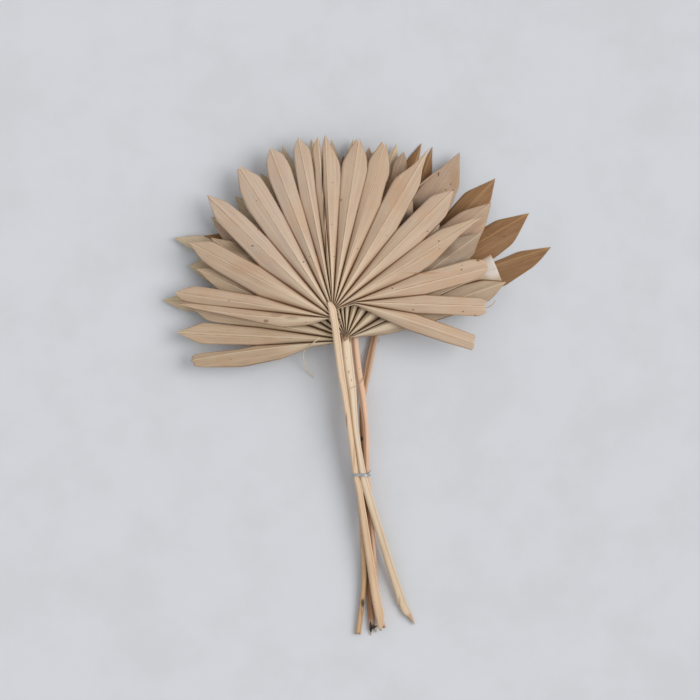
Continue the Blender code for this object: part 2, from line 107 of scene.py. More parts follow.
def at_bearing(angle: float, distance: float) -> Plan:
    """The point at a bearing and a distance from the hub.

    Args:
        angle: bearing in degrees.
        distance: distance in millimetres.

    Returns:
        The place in plan.
    """
    return (distance * math.cos(math.radians(angle)), distance * math.sin(math.radians(angle)))


def smooth_step(low: float, high: float, where: np.ndarray) -> np.ndarray:
    """Rise from 0 at low to 1 at high with level ends.

    Args:
        low: where it leaves 0.
        high: where it reaches 1.
        where: the places asked for.

    Returns:
        The values, one for each place.
    """
    share = np.clip((where - low) / (high - low), 0.0, 1.0)
    return share * share * (3.0 - 2.0 * share)


def resample(line: np.ndarray, shares: np.ndarray) -> np.ndarray:
    """Points at given shares of a line's length.

    Args:
        line: the line's corners, one per row.
        shares: shares of its length, 0 to 1.

    Returns:
        The points, one per share.
    """
    steps = np.linalg.norm(np.diff(line, axis=0), axis=1)
    along = np.concatenate([[0.0], np.cumsum(steps)])
    where = shares * along[-1]
    return np.stack([np.interp(where, along, line[:, k]) for k in range(line.shape[1])], axis=1)


def smooth_path(rows: Sequence[Sequence[float]], step: float) -> np.ndarray:
    """A smooth curve through rows of numbers whose first three are a place.

    Args:
        rows: the rows that the curve passes through.
        step: spacing of the samples in millimetres.

    Returns:
        The sampled rows.
    """
    given = np.array(rows, float)
    padded = np.vstack([2 * given[0] - given[1], given, 2 * given[-1] - given[-2]])
    out = []
    for p0, p1, p2, p3 in zip(padded, padded[1:], padded[2:], padded[3:]):
        count = max(1, int(round(np.linalg.norm(p2[:3] - p1[:3]) / step)))
        for t in np.arange(count) / count:
            out.append(
                0.5 * (2 * p1 + (p2 - p0) * t + (2 * p0 - 5 * p1 + 4 * p2 - p3) * t**2
                       + (3 * p1 - p0 - 3 * p2 + p3) * t**3)
            )
    out.append(given[-1])
    return np.array(out)


def wander(rng: random.Random, count: int, waves: Sequence[float], span: float) -> np.ndarray:
    """A slow, smooth, repeatable wobble along a line.

    Args:
        rng: source of the phases.
        count: number of samples.
        waves: wave lengths in millimetres.
        span: length of the line in millimetres.

    Returns:
        Values from about -1 to 1.
    """
    where = np.linspace(0.0, span, count)
    total = np.zeros(count)
    for wave in waves:
        total += np.sin(where * 2.0 * math.pi / wave + rng.uniform(0.0, 2.0 * math.pi))
    return total / len(waves)


@dataclass
class Patch:
    """Points and faces of a mesh being made, with values kept at the points.

    Attributes:
        points: arrays of places in millimetres.
        faces: corner lists.
        marks: named arrays, one vector per point, kept for the materials.
        count: how many points there are.
    """

    points: List[np.ndarray] = field(default_factory=list)
    faces: List[Tuple[int, ...]] = field(default_factory=list)
    marks: Dict[str, List[np.ndarray]] = field(default_factory=dict)
    count: int = 0

    def add_grid(self, places: np.ndarray, marks: Dict[str, np.ndarray], closed: bool = False) -> int:
        """Add a grid of points joined by quads.

        Args:
            places: rows by columns by three.
            marks: for each name, rows by columns by three.
            closed: whether the last column joins the first.

        Returns:
            The index of the grid's first point.
        """
        rows, columns = places.shape[:2]
        start = self.count
        self.points.append(places.reshape(-1, 3))
        for name, values in marks.items():
            self.marks.setdefault(name, []).append(values.reshape(-1, 3))
        last = columns if closed else columns - 1
        for row in range(rows - 1):
            for column in range(last):
                a = start + row * columns + column
                b = start + row * columns + (column + 1) % columns
                self.faces.append((a, b, b + columns, a + columns))
        self.count += rows * columns
        return start

    def add_tube(self, path: np.ndarray, radii: np.ndarray, sides: int) -> None:
        """Add a round thread along a path, closed at both ends.

        Args:
            path: its middle points.
            radii: its radius at each.
            sides: how many sides it has.
        """
        count = len(path)
        forward = np.gradient(path, axis=0)
        forward /= np.linalg.norm(forward, axis=1)[:, None]
        side = np.cross(forward, (0.0, 0.0, 1.0))
        side /= np.maximum(np.linalg.norm(side, axis=1), 0.001)[:, None]
        up = np.cross(side, forward)
        angle = 2.0 * math.pi * np.arange(sides) / sides
        ring = (path[:, None, :]
                + side[:, None, :] * (radii[:, None] * np.cos(angle))[:, :, None]
                + up[:, None, :] * (radii[:, None] * np.sin(angle))[:, :, None])
        start = self.add_grid(ring, {}, closed=True)
        first = tuple(start + step for step in range(sides))
        last = tuple(start + (count - 1) * sides + step for step in range(sides))
        self.faces += [first, tuple(reversed(last))]

    def to_object(self, name: str, material: bpy.types.Material) -> bpy.types.Object:
        """Make the object.

        Args:
            name: the piece's name.
            material: its material.

        Returns:
            The object, at the frame's origin.
        """
        mesh = bpy.data.meshes.new(name)
        mesh.from_pydata((np.vstack(self.points) * MM).tolist(), [], self.faces)
        for mark, parts in self.marks.items():
            layer = mesh.attributes.new(mark, "FLOAT_VECTOR", "POINT")
            layer.data.foreach_set("vector", np.concatenate(parts).ravel())
        mesh.polygons.foreach_set("use_smooth", [True] * len(mesh.polygons))
        mesh.materials.append(material)
        mesh.update()
        piece = bpy.data.objects.new(name, mesh)
        bpy.context.collection.objects.link(piece)
        return piece


def hand_over(piece: bpy.types.Object, node: Optional[str]) -> None:
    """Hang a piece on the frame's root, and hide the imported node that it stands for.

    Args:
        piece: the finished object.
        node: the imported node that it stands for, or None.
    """
    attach(piece, "root")
    if node is not None:
        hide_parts(node)
    LOG.info("%s: %d faces", piece.name, len(piece.data.polygons))


def srgb(red: float, green: float, blue: float) -> Colour:
    """A linear colour from display values.

    Args:
        red: 0 to 255.
        green: 0 to 255.
        blue: 0 to 255.

    Returns:
        The linear colour.
    """
    return tuple(
        (v / 12.92 if v <= 0.04045 else ((v + 0.055) / 1.055) ** 2.4)
        for v in (red / 255.0, green / 255.0, blue / 255.0)
    )


Socket = Union[bpy.types.NodeSocket, float, Tuple[float, ...]]


class NodeSheet:
    """Adds nodes to a tree and links them."""

    def __init__(self, tree: bpy.types.NodeTree) -> None:
        """Start on a tree.

        Args:
            tree: the node tree to add to.
        """
        self.tree = tree

    def add(self, kind: str, **settings: object) -> bpy.types.Node:
        """Add a node.

        Args:
            kind: the node's type name.
            **settings: properties to set on it.

        Returns:
            The node.
        """
        node = self.tree.nodes.new(kind)
        for name, value in settings.items():
            setattr(node, name, value)
        node.location = (180.0 * len(self.tree.nodes), 0.0)
        return node

    def feed(self, socket: bpy.types.NodeSocket, value: Socket) -> None:
        """Link an output to an input, or set the input's value.

        Args:
            socket: the input.
            value: an output socket or a plain value.
        """
        if isinstance(value, bpy.types.NodeSocket):
            self.tree.links.new(value, socket)
        elif isinstance(value, tuple) and len(value) == 3 and socket.type == "RGBA":
            socket.default_value = (*value, 1.0)
        else:
            socket.default_value = value

    def math(self, operation: str, a: Socket, b: Socket = 0.0) -> Socket:
        """A Math node.

        Args:
            operation: what it does.
            a: first value.
            b: second value.

        Returns:
            Its output.
        """
        node = self.add("ShaderNodeMath", operation=operation)
        self.feed(node.inputs[0], a)
        self.feed(node.inputs[1], b)
        return node.outputs[0]

    def times(self, a: Socket, b: Socket) -> Socket:
        """The product of two values."""
        return self.math("MULTIPLY", a, b)

    def rise(self, value: Socket, low: float, high: float, top: float = 1.0) -> Socket:
        """A smooth rise from 0 at low to top at high.

        Args:
            value: what is mapped.
            low: where the result is 0.
            high: where it is top.
            top: the largest result.

        Returns:
            The mapped value.
        """
        node = self.add("ShaderNodeMapRange", interpolation_type="SMOOTHSTEP")
        self.feed(node.inputs["Value"], value)
        for name, number in (("From Min", low), ("From Max", high), ("To Min", 0.0), ("To Max", top)):
            node.inputs[name].default_value = number
        return node.outputs[0]

    def fall(self, value: Socket, low: float, high: float) -> Socket:
        """A smooth fall from 1 at low to 0 at high.

        Args:
            value: what is mapped.
            low: where the result is 1.
            high: where it is 0.

        Returns:
            The mapped value.
        """
        return self.math("SUBTRACT", 1.0, self.rise(value, low, high))

    def blend(self, share: Socket, a: Socket, b: Socket) -> Socket:
        """Mix two colours.

        Args:
            share: how much of b.
            a: first colour.
            b: second colour.

        Returns:
            The colour.
        """
        node = self.add("ShaderNodeMix", data_type="RGBA", clamp_factor=True)
        self.feed(node.inputs["Factor"], share)
        self.feed(node.inputs[6], a)
        self.feed(node.inputs[7], b)
        return node.outputs[2]

    def stretched(self, place: Socket, scale: Point) -> Socket:
        """A place with each of its numbers multiplied.

        Args:
            place: the vector.
            scale: the factors.

        Returns:
            The vector.
        """
        node = self.add("ShaderNodeVectorMath", operation="MULTIPLY")
        self.feed(node.inputs[0], place)
        node.inputs[1].default_value = scale
        return node.outputs[0]

    def in_mm(self) -> Socket:
        """The place on the object in millimetres.

        Returns:
            The vector.
        """
        factor = 1.0 / MM
        return self.stretched(self.add("ShaderNodeTexCoord").outputs["Object"],
                              (factor, factor, factor))

    def noise(self, place: Socket, scale: float, detail: float, rough: float = 0.5) -> Socket:
        """Noise at a place.

        Args:
            place: the vector.
            scale: how fine.
            detail: how many finer layers.
            rough: how strong the finer layers are.

        Returns:
            A value round 0.5.
        """
        node = self.add("ShaderNodeTexNoise")
        self.feed(node.inputs["Vector"], place)
        node.inputs["Scale"].default_value = scale
        node.inputs["Detail"].default_value = detail
        node.inputs["Roughness"].default_value = rough
        return node.outputs["Fac"]

    def mark(self, name: str) -> Socket:
        """Read what the mesh keeps at its points.

        Args:
            name: the attribute's name.

        Returns:
            The vector.
        """
        return self.add("ShaderNodeAttribute", attribute_name=name).outputs["Vector"]

    def parts(self, vector: Socket) -> Tuple[Socket, Socket, Socket]:
        """A vector's three numbers.

        Args:
            vector: the vector.

        Returns:
            X, Y and Z.
        """
        node = self.add("ShaderNodeSeparateXYZ")
        self.feed(node.inputs[0], vector)
        return tuple(node.outputs)


class Effect(enum.Enum):
    """The shared effects, by the name of their node group."""

    VEINS = "palm_veins"
    SPECKS = "dark_specks"
    ELLIPSE = "single_ellipse"


GroupParts = Tuple[bpy.types.NodeTree, NodeSheet, bpy.types.Node, bpy.types.Node]
MaterialParts = Tuple[bpy.types.Material, NodeSheet, bpy.types.Node]


class Effects:
    """Builds each shared effect once and places it in materials."""

    def __init__(self) -> None:
        """Make the three groups."""
        self.groups = {
            Effect.VEINS: self._veins(),
            Effect.SPECKS: self._specks(),
            Effect.ELLIPSE: self._ellipse(),
        }

    @staticmethod
    def _new(effect: Effect, inputs: Iterable[Tuple[str, str, float]],
             outputs: Iterable[str]) -> GroupParts:
        """Start a group with its sockets.

        Args:
            effect: which effect.
            inputs: name, socket type and default of each input.
            outputs: names of the value outputs.

        Returns:
            The group, a sheet on it, and its input and output nodes.
        """
        tree = bpy.data.node_groups.new(effect.value, "ShaderNodeTree")
        for name, kind, value in inputs:
            socket = tree.interface.new_socket(name=name, in_out="INPUT", socket_type=kind)
            if kind == "NodeSocketFloat":
                socket.default_value = value
        for name in outputs:
            tree.interface.new_socket(name=name, in_out="OUTPUT", socket_type="NodeSocketFloat")
        sheet = NodeSheet(tree)
        return tree, sheet, sheet.add("NodeGroupInput"), sheet.add("NodeGroupOutput")

    def _veins(self) -> bpy.types.NodeTree:
        """Fine lengthwise veins: pale lines, dark lines and their relief."""
        tree, sheet, start, end = self._new(
            Effect.VEINS,
            [("Place", "NodeSocketVector", 0.0), ("Fineness", "NodeSocketFloat", 1.0)],
            ["Pale", "Dark", "Relief"],
        )
        grow = sheet.add("ShaderNodeVectorMath", operation="SCALE")
        sheet.feed(grow.inputs[0], start.outputs["Place"])
        sheet.feed(grow.inputs["Scale"], start.outputs["Fineness"])
        broad = sheet.noise(sheet.stretched(grow.outputs[0], (0.55, 0.012, 1.0)), 1.0, 2.0, 0.6)
        fine = sheet.noise(sheet.stretched(grow.outputs[0], (2.1, 0.022, 1.7)), 1.0, 3.0, 0.65)
        other = sheet.noise(sheet.stretched(grow.outputs[0], (1.3, 0.017, 2.9)), 1.0, 2.0, 0.6)
        both = sheet.math("ADD", sheet.times(broad, 0.5), sheet.times(fine, 0.5))
        sheet.feed(end.inputs["Pale"], sheet.rise(both, 0.46, 0.66))
        sheet.feed(end.inputs["Dark"], sheet.rise(other, 0.54, 0.74))
        sheet.feed(end.inputs["Relief"], both)
        return tree

    def _specks(self) -> bpy.types.NodeTree:
        """Sparse small dark specks."""
        tree, sheet, start, end = self._new(
            Effect.SPECKS,
            [("Place", "NodeSocketVector", 0.0), ("Spacing", "NodeSocketFloat", 30.0),
             ("Radius", "NodeSocketFloat", 0.7), ("Share", "NodeSocketFloat", 0.3)],
            ["Mask"],
        )
        shrink = sheet.add("ShaderNodeVectorMath", operation="DIVIDE")
        sheet.feed(shrink.inputs[0], start.outputs["Place"])
        spread = sheet.add("ShaderNodeCombineXYZ")
        for socket in spread.inputs:
            sheet.feed(socket, start.outputs["Spacing"])
        sheet.feed(shrink.inputs[1], spread.outputs[0])
        cells = sheet.add("ShaderNodeTexVoronoi", voronoi_dimensions="2D")
        sheet.feed(cells.inputs["Vector"], shrink.outputs[0])
        cells.inputs["Scale"].default_value = 1.0
        distance = sheet.times(cells.outputs["Distance"], start.outputs["Spacing"])
        near = sheet.math("SUBTRACT", 1.0, sheet.math("DIVIDE", distance, start.outputs["Radius"]))
        chosen = sheet.math("LESS_THAN", sheet.parts(cells.outputs["Color"])[0], start.outputs["Share"])
        sheet.feed(end.inputs["Mask"], sheet.times(sheet.rise(near, 0.0, 0.5), chosen))
        return tree

    def _ellipse(self) -> bpy.types.NodeTree:
        """One mark at a place of its own, longer one way than the other."""
        tree, sheet, start, end = self._new(
            Effect.ELLIPSE,
            [("Place", "NodeSocketVector", 0.0), ("Centre", "NodeSocketVector", 0.0),
             ("Reach", "NodeSocketVector", 0.0)],
            ["Mask"],
        )
        away = sheet.add("ShaderNodeVectorMath", operation="SUBTRACT")
        sheet.feed(away.inputs[0], start.outputs["Place"])
        sheet.feed(away.inputs[1], start.outputs["Centre"])
        sized = sheet.add("ShaderNodeVectorMath", operation="DIVIDE")
        sheet.feed(sized.inputs[0], away.outputs[0])
        sheet.feed(sized.inputs[1], start.outputs["Reach"])
        length = sheet.add("ShaderNodeVectorMath", operation="LENGTH")
        sheet.feed(length.inputs[0], sized.outputs[0])
        near = sheet.math("SUBTRACT", 1.0, length.outputs["Value"])
        sheet.feed(end.inputs["Mask"], sheet.rise(near, 0.0, 0.6))
        return tree

    def place(self, sheet: NodeSheet, effect: Effect, **values: Socket) -> bpy.types.Node:
        """Put an effect in a material.

        Args:
            sheet: the material's sheet.
            effect: which effect.
            **values: its inputs by name.

        Returns:
            The group node.
        """
        node = sheet.add("ShaderNodeGroup", node_tree=self.groups[effect])
        for name, value in values.items():
            sheet.feed(node.inputs[name], value)
        return node


def begin_material(name: str, roughness: float, metallic: float = 0.0) -> MaterialParts:
    """A material with its Principled shader.

    Args:
        name: the material's name.
        roughness: its roughness.
        metallic: its metallic value.

    Returns:
        The material, a sheet on its tree, and the shader.
    """
    material = bpy.data.materials.new(name)
    material.use_nodes = True
    shader = material.node_tree.nodes["Principled BSDF"]
    shader.inputs["Roughness"].default_value = roughness
    shader.inputs["Metallic"].default_value = metallic
    return material, NodeSheet(material.node_tree), shader


def add_relief(sheet: NodeSheet, shader: bpy.types.Node, height: Socket, strength: float,
               depth: float) -> None:
    """Give a surface fine relief.

    Args:
        sheet: the material's sheet.
        shader: its shader.
        height: how high each place is, as a share of the depth.
        strength: how much of the relief shows.
        depth: how deep it is, in millimetres.
    """
    bump = sheet.add("ShaderNodeBump")
    bump.inputs["Strength"].default_value = strength
    bump.inputs["Distance"].default_value = depth * MM
    sheet.feed(bump.inputs["Height"], height)
    sheet.feed(shader.inputs["Normal"], bump.outputs[0])


@dataclass(frozen=True)
class SpotOrPaintedLight:
    """A mark at one place of a leaf or stem: a real spot, painted shade, or a painted highlight.

    Attributes:
        centre: its middle, in plan.
        size: how far it reaches across and along the bunch.
        colour: its colour.
        strength: how much of what is below it hides.
    """

    centre: Plan
    size: Plan
    colour: Colour = srgb(92, 60, 38)
    strength: float = 0.8


def add_spots_and_painted_light(sheet: NodeSheet, effects: Effects, in_mm: Socket, colour: Socket,
               spots_and_painted_light: Sequence[SpotOrPaintedLight]) -> Socket:
    """Lay the marks at single places over a colour: real spots, painted shade and a painted highlight.

    Args:
        sheet: the material's sheet.
        effects: the shared effects.
        in_mm: the place on the object.
        colour: the colour so far.
        spots_and_painted_light: the marks.

    Returns:
        The colour with the marks.
    """
    for one_mark in spots_and_painted_light:
        mask = effects.place(sheet, Effect.ELLIPSE, Place=in_mm, Centre=(*one_mark.centre, 20.0),
                             Reach=(*one_mark.size, 200.0))
        share = sheet.times(mask.outputs[0], one_mark.strength)
        colour = sheet.blend(share, colour, one_mark.colour)
    return colour


@dataclass(frozen=True)
class BladeFinish:
    """Dried leaf: its colours, with painted highlight and shade on its folds and rib, and how strongly its
    veins, folds and rims are drawn.

    Attributes:
        base: the colour of most of the blade.
        pale: fine pale veins, and the painted highlight on the rib and on the crests of the folds near the
            hub.
        dark: fine dark veins.
        blush: warm cloudy patches.
        dull: greyish patches drawn out along the blade.
        fold: the painted shade in the bottoms of the folds near the hub and along the shared margins, and
            the darker hub.
        rim: the thin dried line along free edges, and the painted shadow line beside the rib.
        spots_and_painted_light: the marks seen at single places.
        speck_share: how many of the places that could have a speck have one.
        fold_strength: how strongly the painted shade in the bottoms of the folds is drawn.
        speck: small dark specks.
    """

    base: Colour
    pale: Colour
    dark: Colour
    blush: Colour
    dull: Colour
    fold: Colour
    rim: Colour
    spots_and_painted_light: Tuple[SpotOrPaintedLight, ...] = ()
    speck_share: float = 0.25
    fold_strength: float = 0.85
    speck: Colour = srgb(96, 62, 40)

    def material(self, name: str, effects: Effects) -> bpy.types.Material:
        """Build the material.

        Args:
            name: its name.
            effects: the shared effects.

        Returns:
            The material.
        """
        made, sheet, shader = begin_material(name, 0.7)
        place = sheet.mark("vein_place")
        rib, rim, out = sheet.parts(sheet.mark("leaf_place"))
        look, warm, past = sheet.parts(sheet.mark("tint"))
        share = sheet.math("DIVIDE", sheet.math("ABSOLUTE", sheet.parts(place)[0]), VEIN_SPAN)
        in_mm = sheet.in_mm()
        veins = effects.place(sheet, Effect.VEINS, Place=place, Fineness=1.0)
        clouds = sheet.noise(in_mm, 0.035, 3.0, 0.55)
        drawn_out = sheet.noise(sheet.stretched(place, (0.3, 0.045, 1.0)), 1.0, 4.0, 0.62)
        grain = sheet.noise(sheet.stretched(place, (5.0, 0.5, 1.0)), 1.0, 2.0)
        colour = sheet.blend(sheet.rise(clouds, 0.42, 0.68, 0.6), self.base, self.blush)
        colour = sheet.blend(sheet.rise(drawn_out, 0.46, 0.68, 0.6), colour, self.dull)
        colour = sheet.blend(sheet.times(veins.outputs["Pale"], 0.3), colour, self.pale)
        colour = sheet.blend(sheet.times(veins.outputs["Dark"], 0.3), colour, self.dark)
        colour = sheet.blend(sheet.rise(grain, 0.46, 0.78, 0.26), colour, self.dark)
        colour = self._toned(sheet, colour, look, warm)
        colour = self._folds(sheet, colour, share, (rim, out, past))
        colour = self._lines(sheet, colour, in_mm, (rib, rim, out), (look, past))
        specks = effects.place(sheet, Effect.SPECKS, Place=in_mm, Spacing=26.0, Radius=0.8,
                               Share=self.speck_share)
        colour = sheet.blend(sheet.times(specks.outputs[0], 0.7), colour, self.speck)
        colour = add_spots_and_painted_light(sheet, effects, in_mm, colour, self.spots_and_painted_light)
        sheet.feed(shader.inputs["Base Color"], colour)
        sheet.feed(shader.inputs["Roughness"], sheet.math("ADD", 0.58, sheet.times(grain, 0.24)))
        relief = sheet.math("ADD", veins.outputs["Relief"], sheet.times(grain, 0.3))
        add_relief(sheet, shader, relief, strength=0.3, depth=0.4)
        return made

    @staticmethod
    def _toned(sheet: NodeSheet, colour: Socket, look: Socket, warm: Socket) -> Socket:
        """Make a leaflet lighter or darker, and warmer or greyer, than its neighbours.

        Args:
            sheet: the material's sheet.
            colour: the colour so far.
            look: how light the leaflet is, -1 to 1.
            warm: how warm it is, -1 to 1.

        Returns:
            The colour.
        """
        light = sheet.math("ADD", 1.0, sheet.times(look, 0.06))
        factors = sheet.add("ShaderNodeCombineXYZ")
        sheet.feed(factors.inputs[0], light)
        for socket, fall in ((factors.inputs[1], 0.035), (factors.inputs[2], 0.09)):
            sheet.feed(socket, sheet.math("SUBTRACT", light, sheet.times(warm, fall)))
        node = sheet.add("ShaderNodeVectorMath", operation="MULTIPLY")
        sheet.feed(node.inputs[0], colour)
        sheet.feed(node.inputs[1], factors.outputs[0])
        return node.outputs[0]

    def _folds(self, sheet: NodeSheet, colour: Socket, share: Socket,
               places: Tuple[Socket, Socket, Socket]) -> Socket:
        """Painted highlight on the crests of the folds near the hub, painted shade in their bottoms and
        along the shared margins, and darker right at the hub.

        Args:
            sheet: the material's sheet.
            colour: the colour so far.
            share: 0 at the rib, 1 at the bottom of the fold.
            places: distance from the margin, from the hub, and past the split.

        Returns:
            The colour.
        """
        rim, out, past = places
        inner = sheet.fall(out, 24.0, 88.0)
        # Below 1 only near the hub on a margin that no neighbour shares, which has no fold.
        folded = sheet.rise(past, 60.0 - FREE_SPLIT, 100.0 - FREE_SPLIT)
        # Painted highlight on the crests of the folds near the hub, and painted shade in their bottoms.
        crest = sheet.fall(share, 0.3, 0.75)
        colour = sheet.blend(sheet.times(sheet.times(crest, inner), 0.75), colour, self.pale)
        low = sheet.times(sheet.times(sheet.rise(share, 0.6, 0.95), inner), folded)
        colour = sheet.blend(sheet.times(low, self.fold_strength), colour, self.fold)
        # Painted shade along the shared margins, where the folds bottom out.
        line = sheet.fall(rim, 0.2, 1.5)
        reach_out = sheet.times(folded, sheet.fall(out, 80.0, 145.0))
        colour = sheet.blend(sheet.times(sheet.times(line, reach_out), 0.7), colour, self.fold)
        near = sheet.fall(out, 2.0, 7.0)
        return sheet.blend(sheet.times(near, 0.4), colour, self.fold)

    def _lines(self, sheet: NodeSheet, colour: Socket, in_mm: Socket,
               places: Tuple[Socket, Socket, Socket], marks: Tuple[Socket, Socket]) -> Socket:
        """The painted highlight on the rib with a thin painted shadow line beside it, and the dried line
        along free edges.

        Args:
            sheet: the material's sheet.
            colour: the colour so far.
            in_mm: the place on the object.
            places: distance from the rib, from the margin and from the hub.
            marks: the leaflet's lightness, and how far past its split the place is.

        Returns:
            The colour.
        """
        rib, rim, out = places
        look, past = marks
        patchy = sheet.rise(sheet.noise(in_mm, 0.09, 2.0), 0.38, 0.6)
        open_part = sheet.rise(out, 24.0, 60.0)
        # Painted highlight along the rib, then a thin painted shadow line beside it on one side, patchy in
        # strength.
        crest = sheet.fall(sheet.math("ABSOLUTE", rib), 0.2, 0.75)
        colour = sheet.blend(sheet.times(sheet.times(crest, open_part), 0.6), colour, self.pale)
        turned = sheet.times(rib, sheet.math("SIGN", look))
        beside = sheet.times(sheet.rise(turned, 0.25, 0.6), sheet.fall(turned, 0.75, 1.3))
        rib_shadow_strength = sheet.math("ADD", 0.35, sheet.times(patchy, 0.4))
        colour = sheet.blend(sheet.times(sheet.times(beside, open_part), rib_shadow_strength), colour, self.rim)
        edge = sheet.fall(rim, 0.15, 0.85)
        near_split = sheet.times(sheet.rise(past, -10.0, 0.0), sheet.fall(past, 12.0, 45.0))
        strength = sheet.math("ADD", sheet.times(patchy, 0.4), sheet.times(near_split, 0.45))
        return sheet.blend(sheet.times(edge, strength), colour, self.rim)


@dataclass(frozen=True)
class StemFinish:
    """Dried stem: its colours from the lit crest to the painted shade in its groove.

    Attributes:
        base: the colour of most of the stem.
        pale: fine pale veins, and most of its upper part.
        dark: fine dark veins and clouds.
        groove: the painted shade in the bottom of its channel.
        spots_and_painted_light: the marks seen at single places.
        upper_pale: how pale its upper part is.
        scorched: the very end.
        speck: small dark specks.
    """

    base: Colour
    pale: Colour
    dark: Colour
    groove: Colour
    spots_and_painted_light: Tuple[SpotOrPaintedLight, ...] = ()
    upper_pale: float = 0.6
    scorched: Colour = srgb(96, 62, 40)
    speck: Colour = srgb(104, 68, 42)

    def material(self, name: str, effects: Effects) -> bpy.types.Material:
        """Build the material.

        Args:
            name: its name.
            effects: the shared effects.

        Returns:
            The material.
        """
        made, sheet, shader = begin_material(name, 0.6)
        place = sheet.mark("vein_place")
        groove, scorch, along = sheet.parts(sheet.mark("leaf_place"))
        veins = effects.place(sheet, Effect.VEINS, Place=place, Fineness=1.3)
        in_mm = sheet.in_mm()
        clouds = sheet.noise(sheet.stretched(in_mm, (1.0, 0.3, 1.0)), 0.1, 3.0, 0.6)
        colour = sheet.blend(sheet.rise(clouds, 0.44, 0.7, 0.4), self.base, self.dark)
        colour = sheet.blend(sheet.times(veins.outputs["Pale"], 0.4), colour, self.pale)
        colour = sheet.blend(sheet.times(veins.outputs["Dark"], 0.3), colour, self.dark)
        upper = sheet.fall(along, 70.0, 240.0)
        colour = sheet.blend(sheet.times(upper, self.upper_pale), colour, self.pale)
        # Painted shade in the channel.
        colour = sheet.blend(groove, colour, self.groove)
        colour = sheet.blend(scorch, colour, self.scorched)
        specks = effects.place(sheet, Effect.SPECKS, Place=in_mm, Spacing=15.0, Radius=0.7, Share=0.35)
        colour = sheet.blend(sheet.times(specks.outputs[0], 0.55), colour, self.speck)
        colour = add_spots_and_painted_light(sheet, effects, in_mm, colour, self.spots_and_painted_light)
        sheet.feed(shader.inputs["Base Color"], colour)
        sheet.feed(shader.inputs["Roughness"], sheet.math("ADD", 0.48, sheet.times(clouds, 0.26)))
        add_relief(sheet, shader, veins.outputs["Relief"], strength=0.4, depth=0.5)
        return made


@dataclass(frozen=True)
class ThreadFinish:
    """Loose dried fibre.

    Attributes:
        base: its colour where it is lightest.
        roughness: how matt it is.
        darkest: how light its darkest places are beside that.
    """

    base: Colour
    roughness: float = 0.7
    darkest: float = 0.72

    def material(self, name: str, effects: Effects) -> bpy.types.Material:
        """Build the material.

        Args:
            name: its name.
            effects: the shared effects.

        Returns:
            The material.
        """
        made, sheet, shader = begin_material(name, self.roughness)
        tone = sheet.noise(sheet.in_mm(), 0.2, 2.0)
        darker = tuple(v * self.darkest for v in self.base)
        sheet.feed(shader.inputs["Base Color"], sheet.blend(tone, self.base, darker))
        return made


@dataclass(frozen=True)
class TieFinish:
    """Grey metal strip with rubbed edges and a soft brushed look."""

    base: Colour = srgb(198, 206, 212)
    dull: Colour = srgb(152, 160, 166)
    roughness: float = 0.34

    def material(self, name: str, effects: Effects) -> bpy.types.Material:
        """Build the material.

        Args:
            name: its name.
            effects: the shared effects.

        Returns:
            The material.
        """
        made, sheet, shader = begin_material(name, self.roughness, 1.0)
        in_mm = sheet.in_mm()
        cloudy = sheet.noise(in_mm, 0.9, 3.0, 0.6)
        brushed = sheet.noise(sheet.stretched(in_mm, (0.4, 6.0, 6.0)), 1.0, 2.0)
        sheet.feed(shader.inputs["Base Color"],
                   sheet.blend(sheet.rise(cloudy, 0.35, 0.7), self.base, self.dull))
        rough = sheet.math("ADD", 0.26, sheet.times(brushed, 0.22))
        sheet.feed(shader.inputs["Roughness"], rough)
        add_relief(sheet, shader, cloudy, strength=0.25, depth=0.2)
        return made


@dataclass(frozen=True)
class FloorFinish:
    """Plain pale surface that the bunch lies on."""

    base: Colour = srgb(213, 216, 221)
    dull: Colour = srgb(209, 212, 216)
    roughness: float = 0.9

    def material(self, name: str, effects: Effects) -> bpy.types.Material:
        """Build the material.

        Args:
            name: its name.
            effects: the shared effects.

        Returns:
            The material.
        """
        made, sheet, shader = begin_material(name, self.roughness)
        clouds = sheet.noise(sheet.in_mm(), 0.012, 4.0, 0.6)
        sheet.feed(shader.inputs["Base Color"],
                   sheet.blend(sheet.rise(clouds, 0.4, 0.65), self.base, self.dull))
        return made


class End(enum.Enum):
    """How a leaflet ends: cut to a point, cut across, or torn across."""

    POINTED = "pointed"
    CUT = "cut"
    TORN = "torn"


@dataclass
class Leaflet:
    """One leaflet, in plan from its leaf's hub, with its sides named looking outward.

    Attributes:
        tip: where the midrib ends.
        left: the outline's corners on the anticlockwise side, from the split to the tip.
        right: the same on the clockwise side.
        split: where it parts from the next leaflet clockwise.
        bow: how far the midrib bends to the left at its middle.
        neck: a place near the hub where it is pinched.
        lift: how far its free end rises.
        end: how it ends.
        twin: the left half's own point, where the tip is split.
        tone: how light and how warm it is beside its neighbours, -1 to 1.
    """

    tip: Plan
    left: List[Plan] = field(default_factory=list)
    right: List[Plan] = field(default_factory=list)
    split: Optional[Plan] = None
    bow: float = 0.0
    neck: Optional[Plan] = None
    lift: float = 0.0
    end: End = End.POINTED
    twin: Optional[Plan] = None
    tone: Optional[Plan] = None


@dataclass
class Covered:
    """A run of leaflets that the leaves in front cover, evenly spread in their gap.

    Attributes:
        count: how many there are.
        distance: how far they reach from the hub.
        necks: where they are pinched near the hub, where that shows.
    """

    count: int
    distance: float
    necks: Sequence[Optional[Plan]] = ()


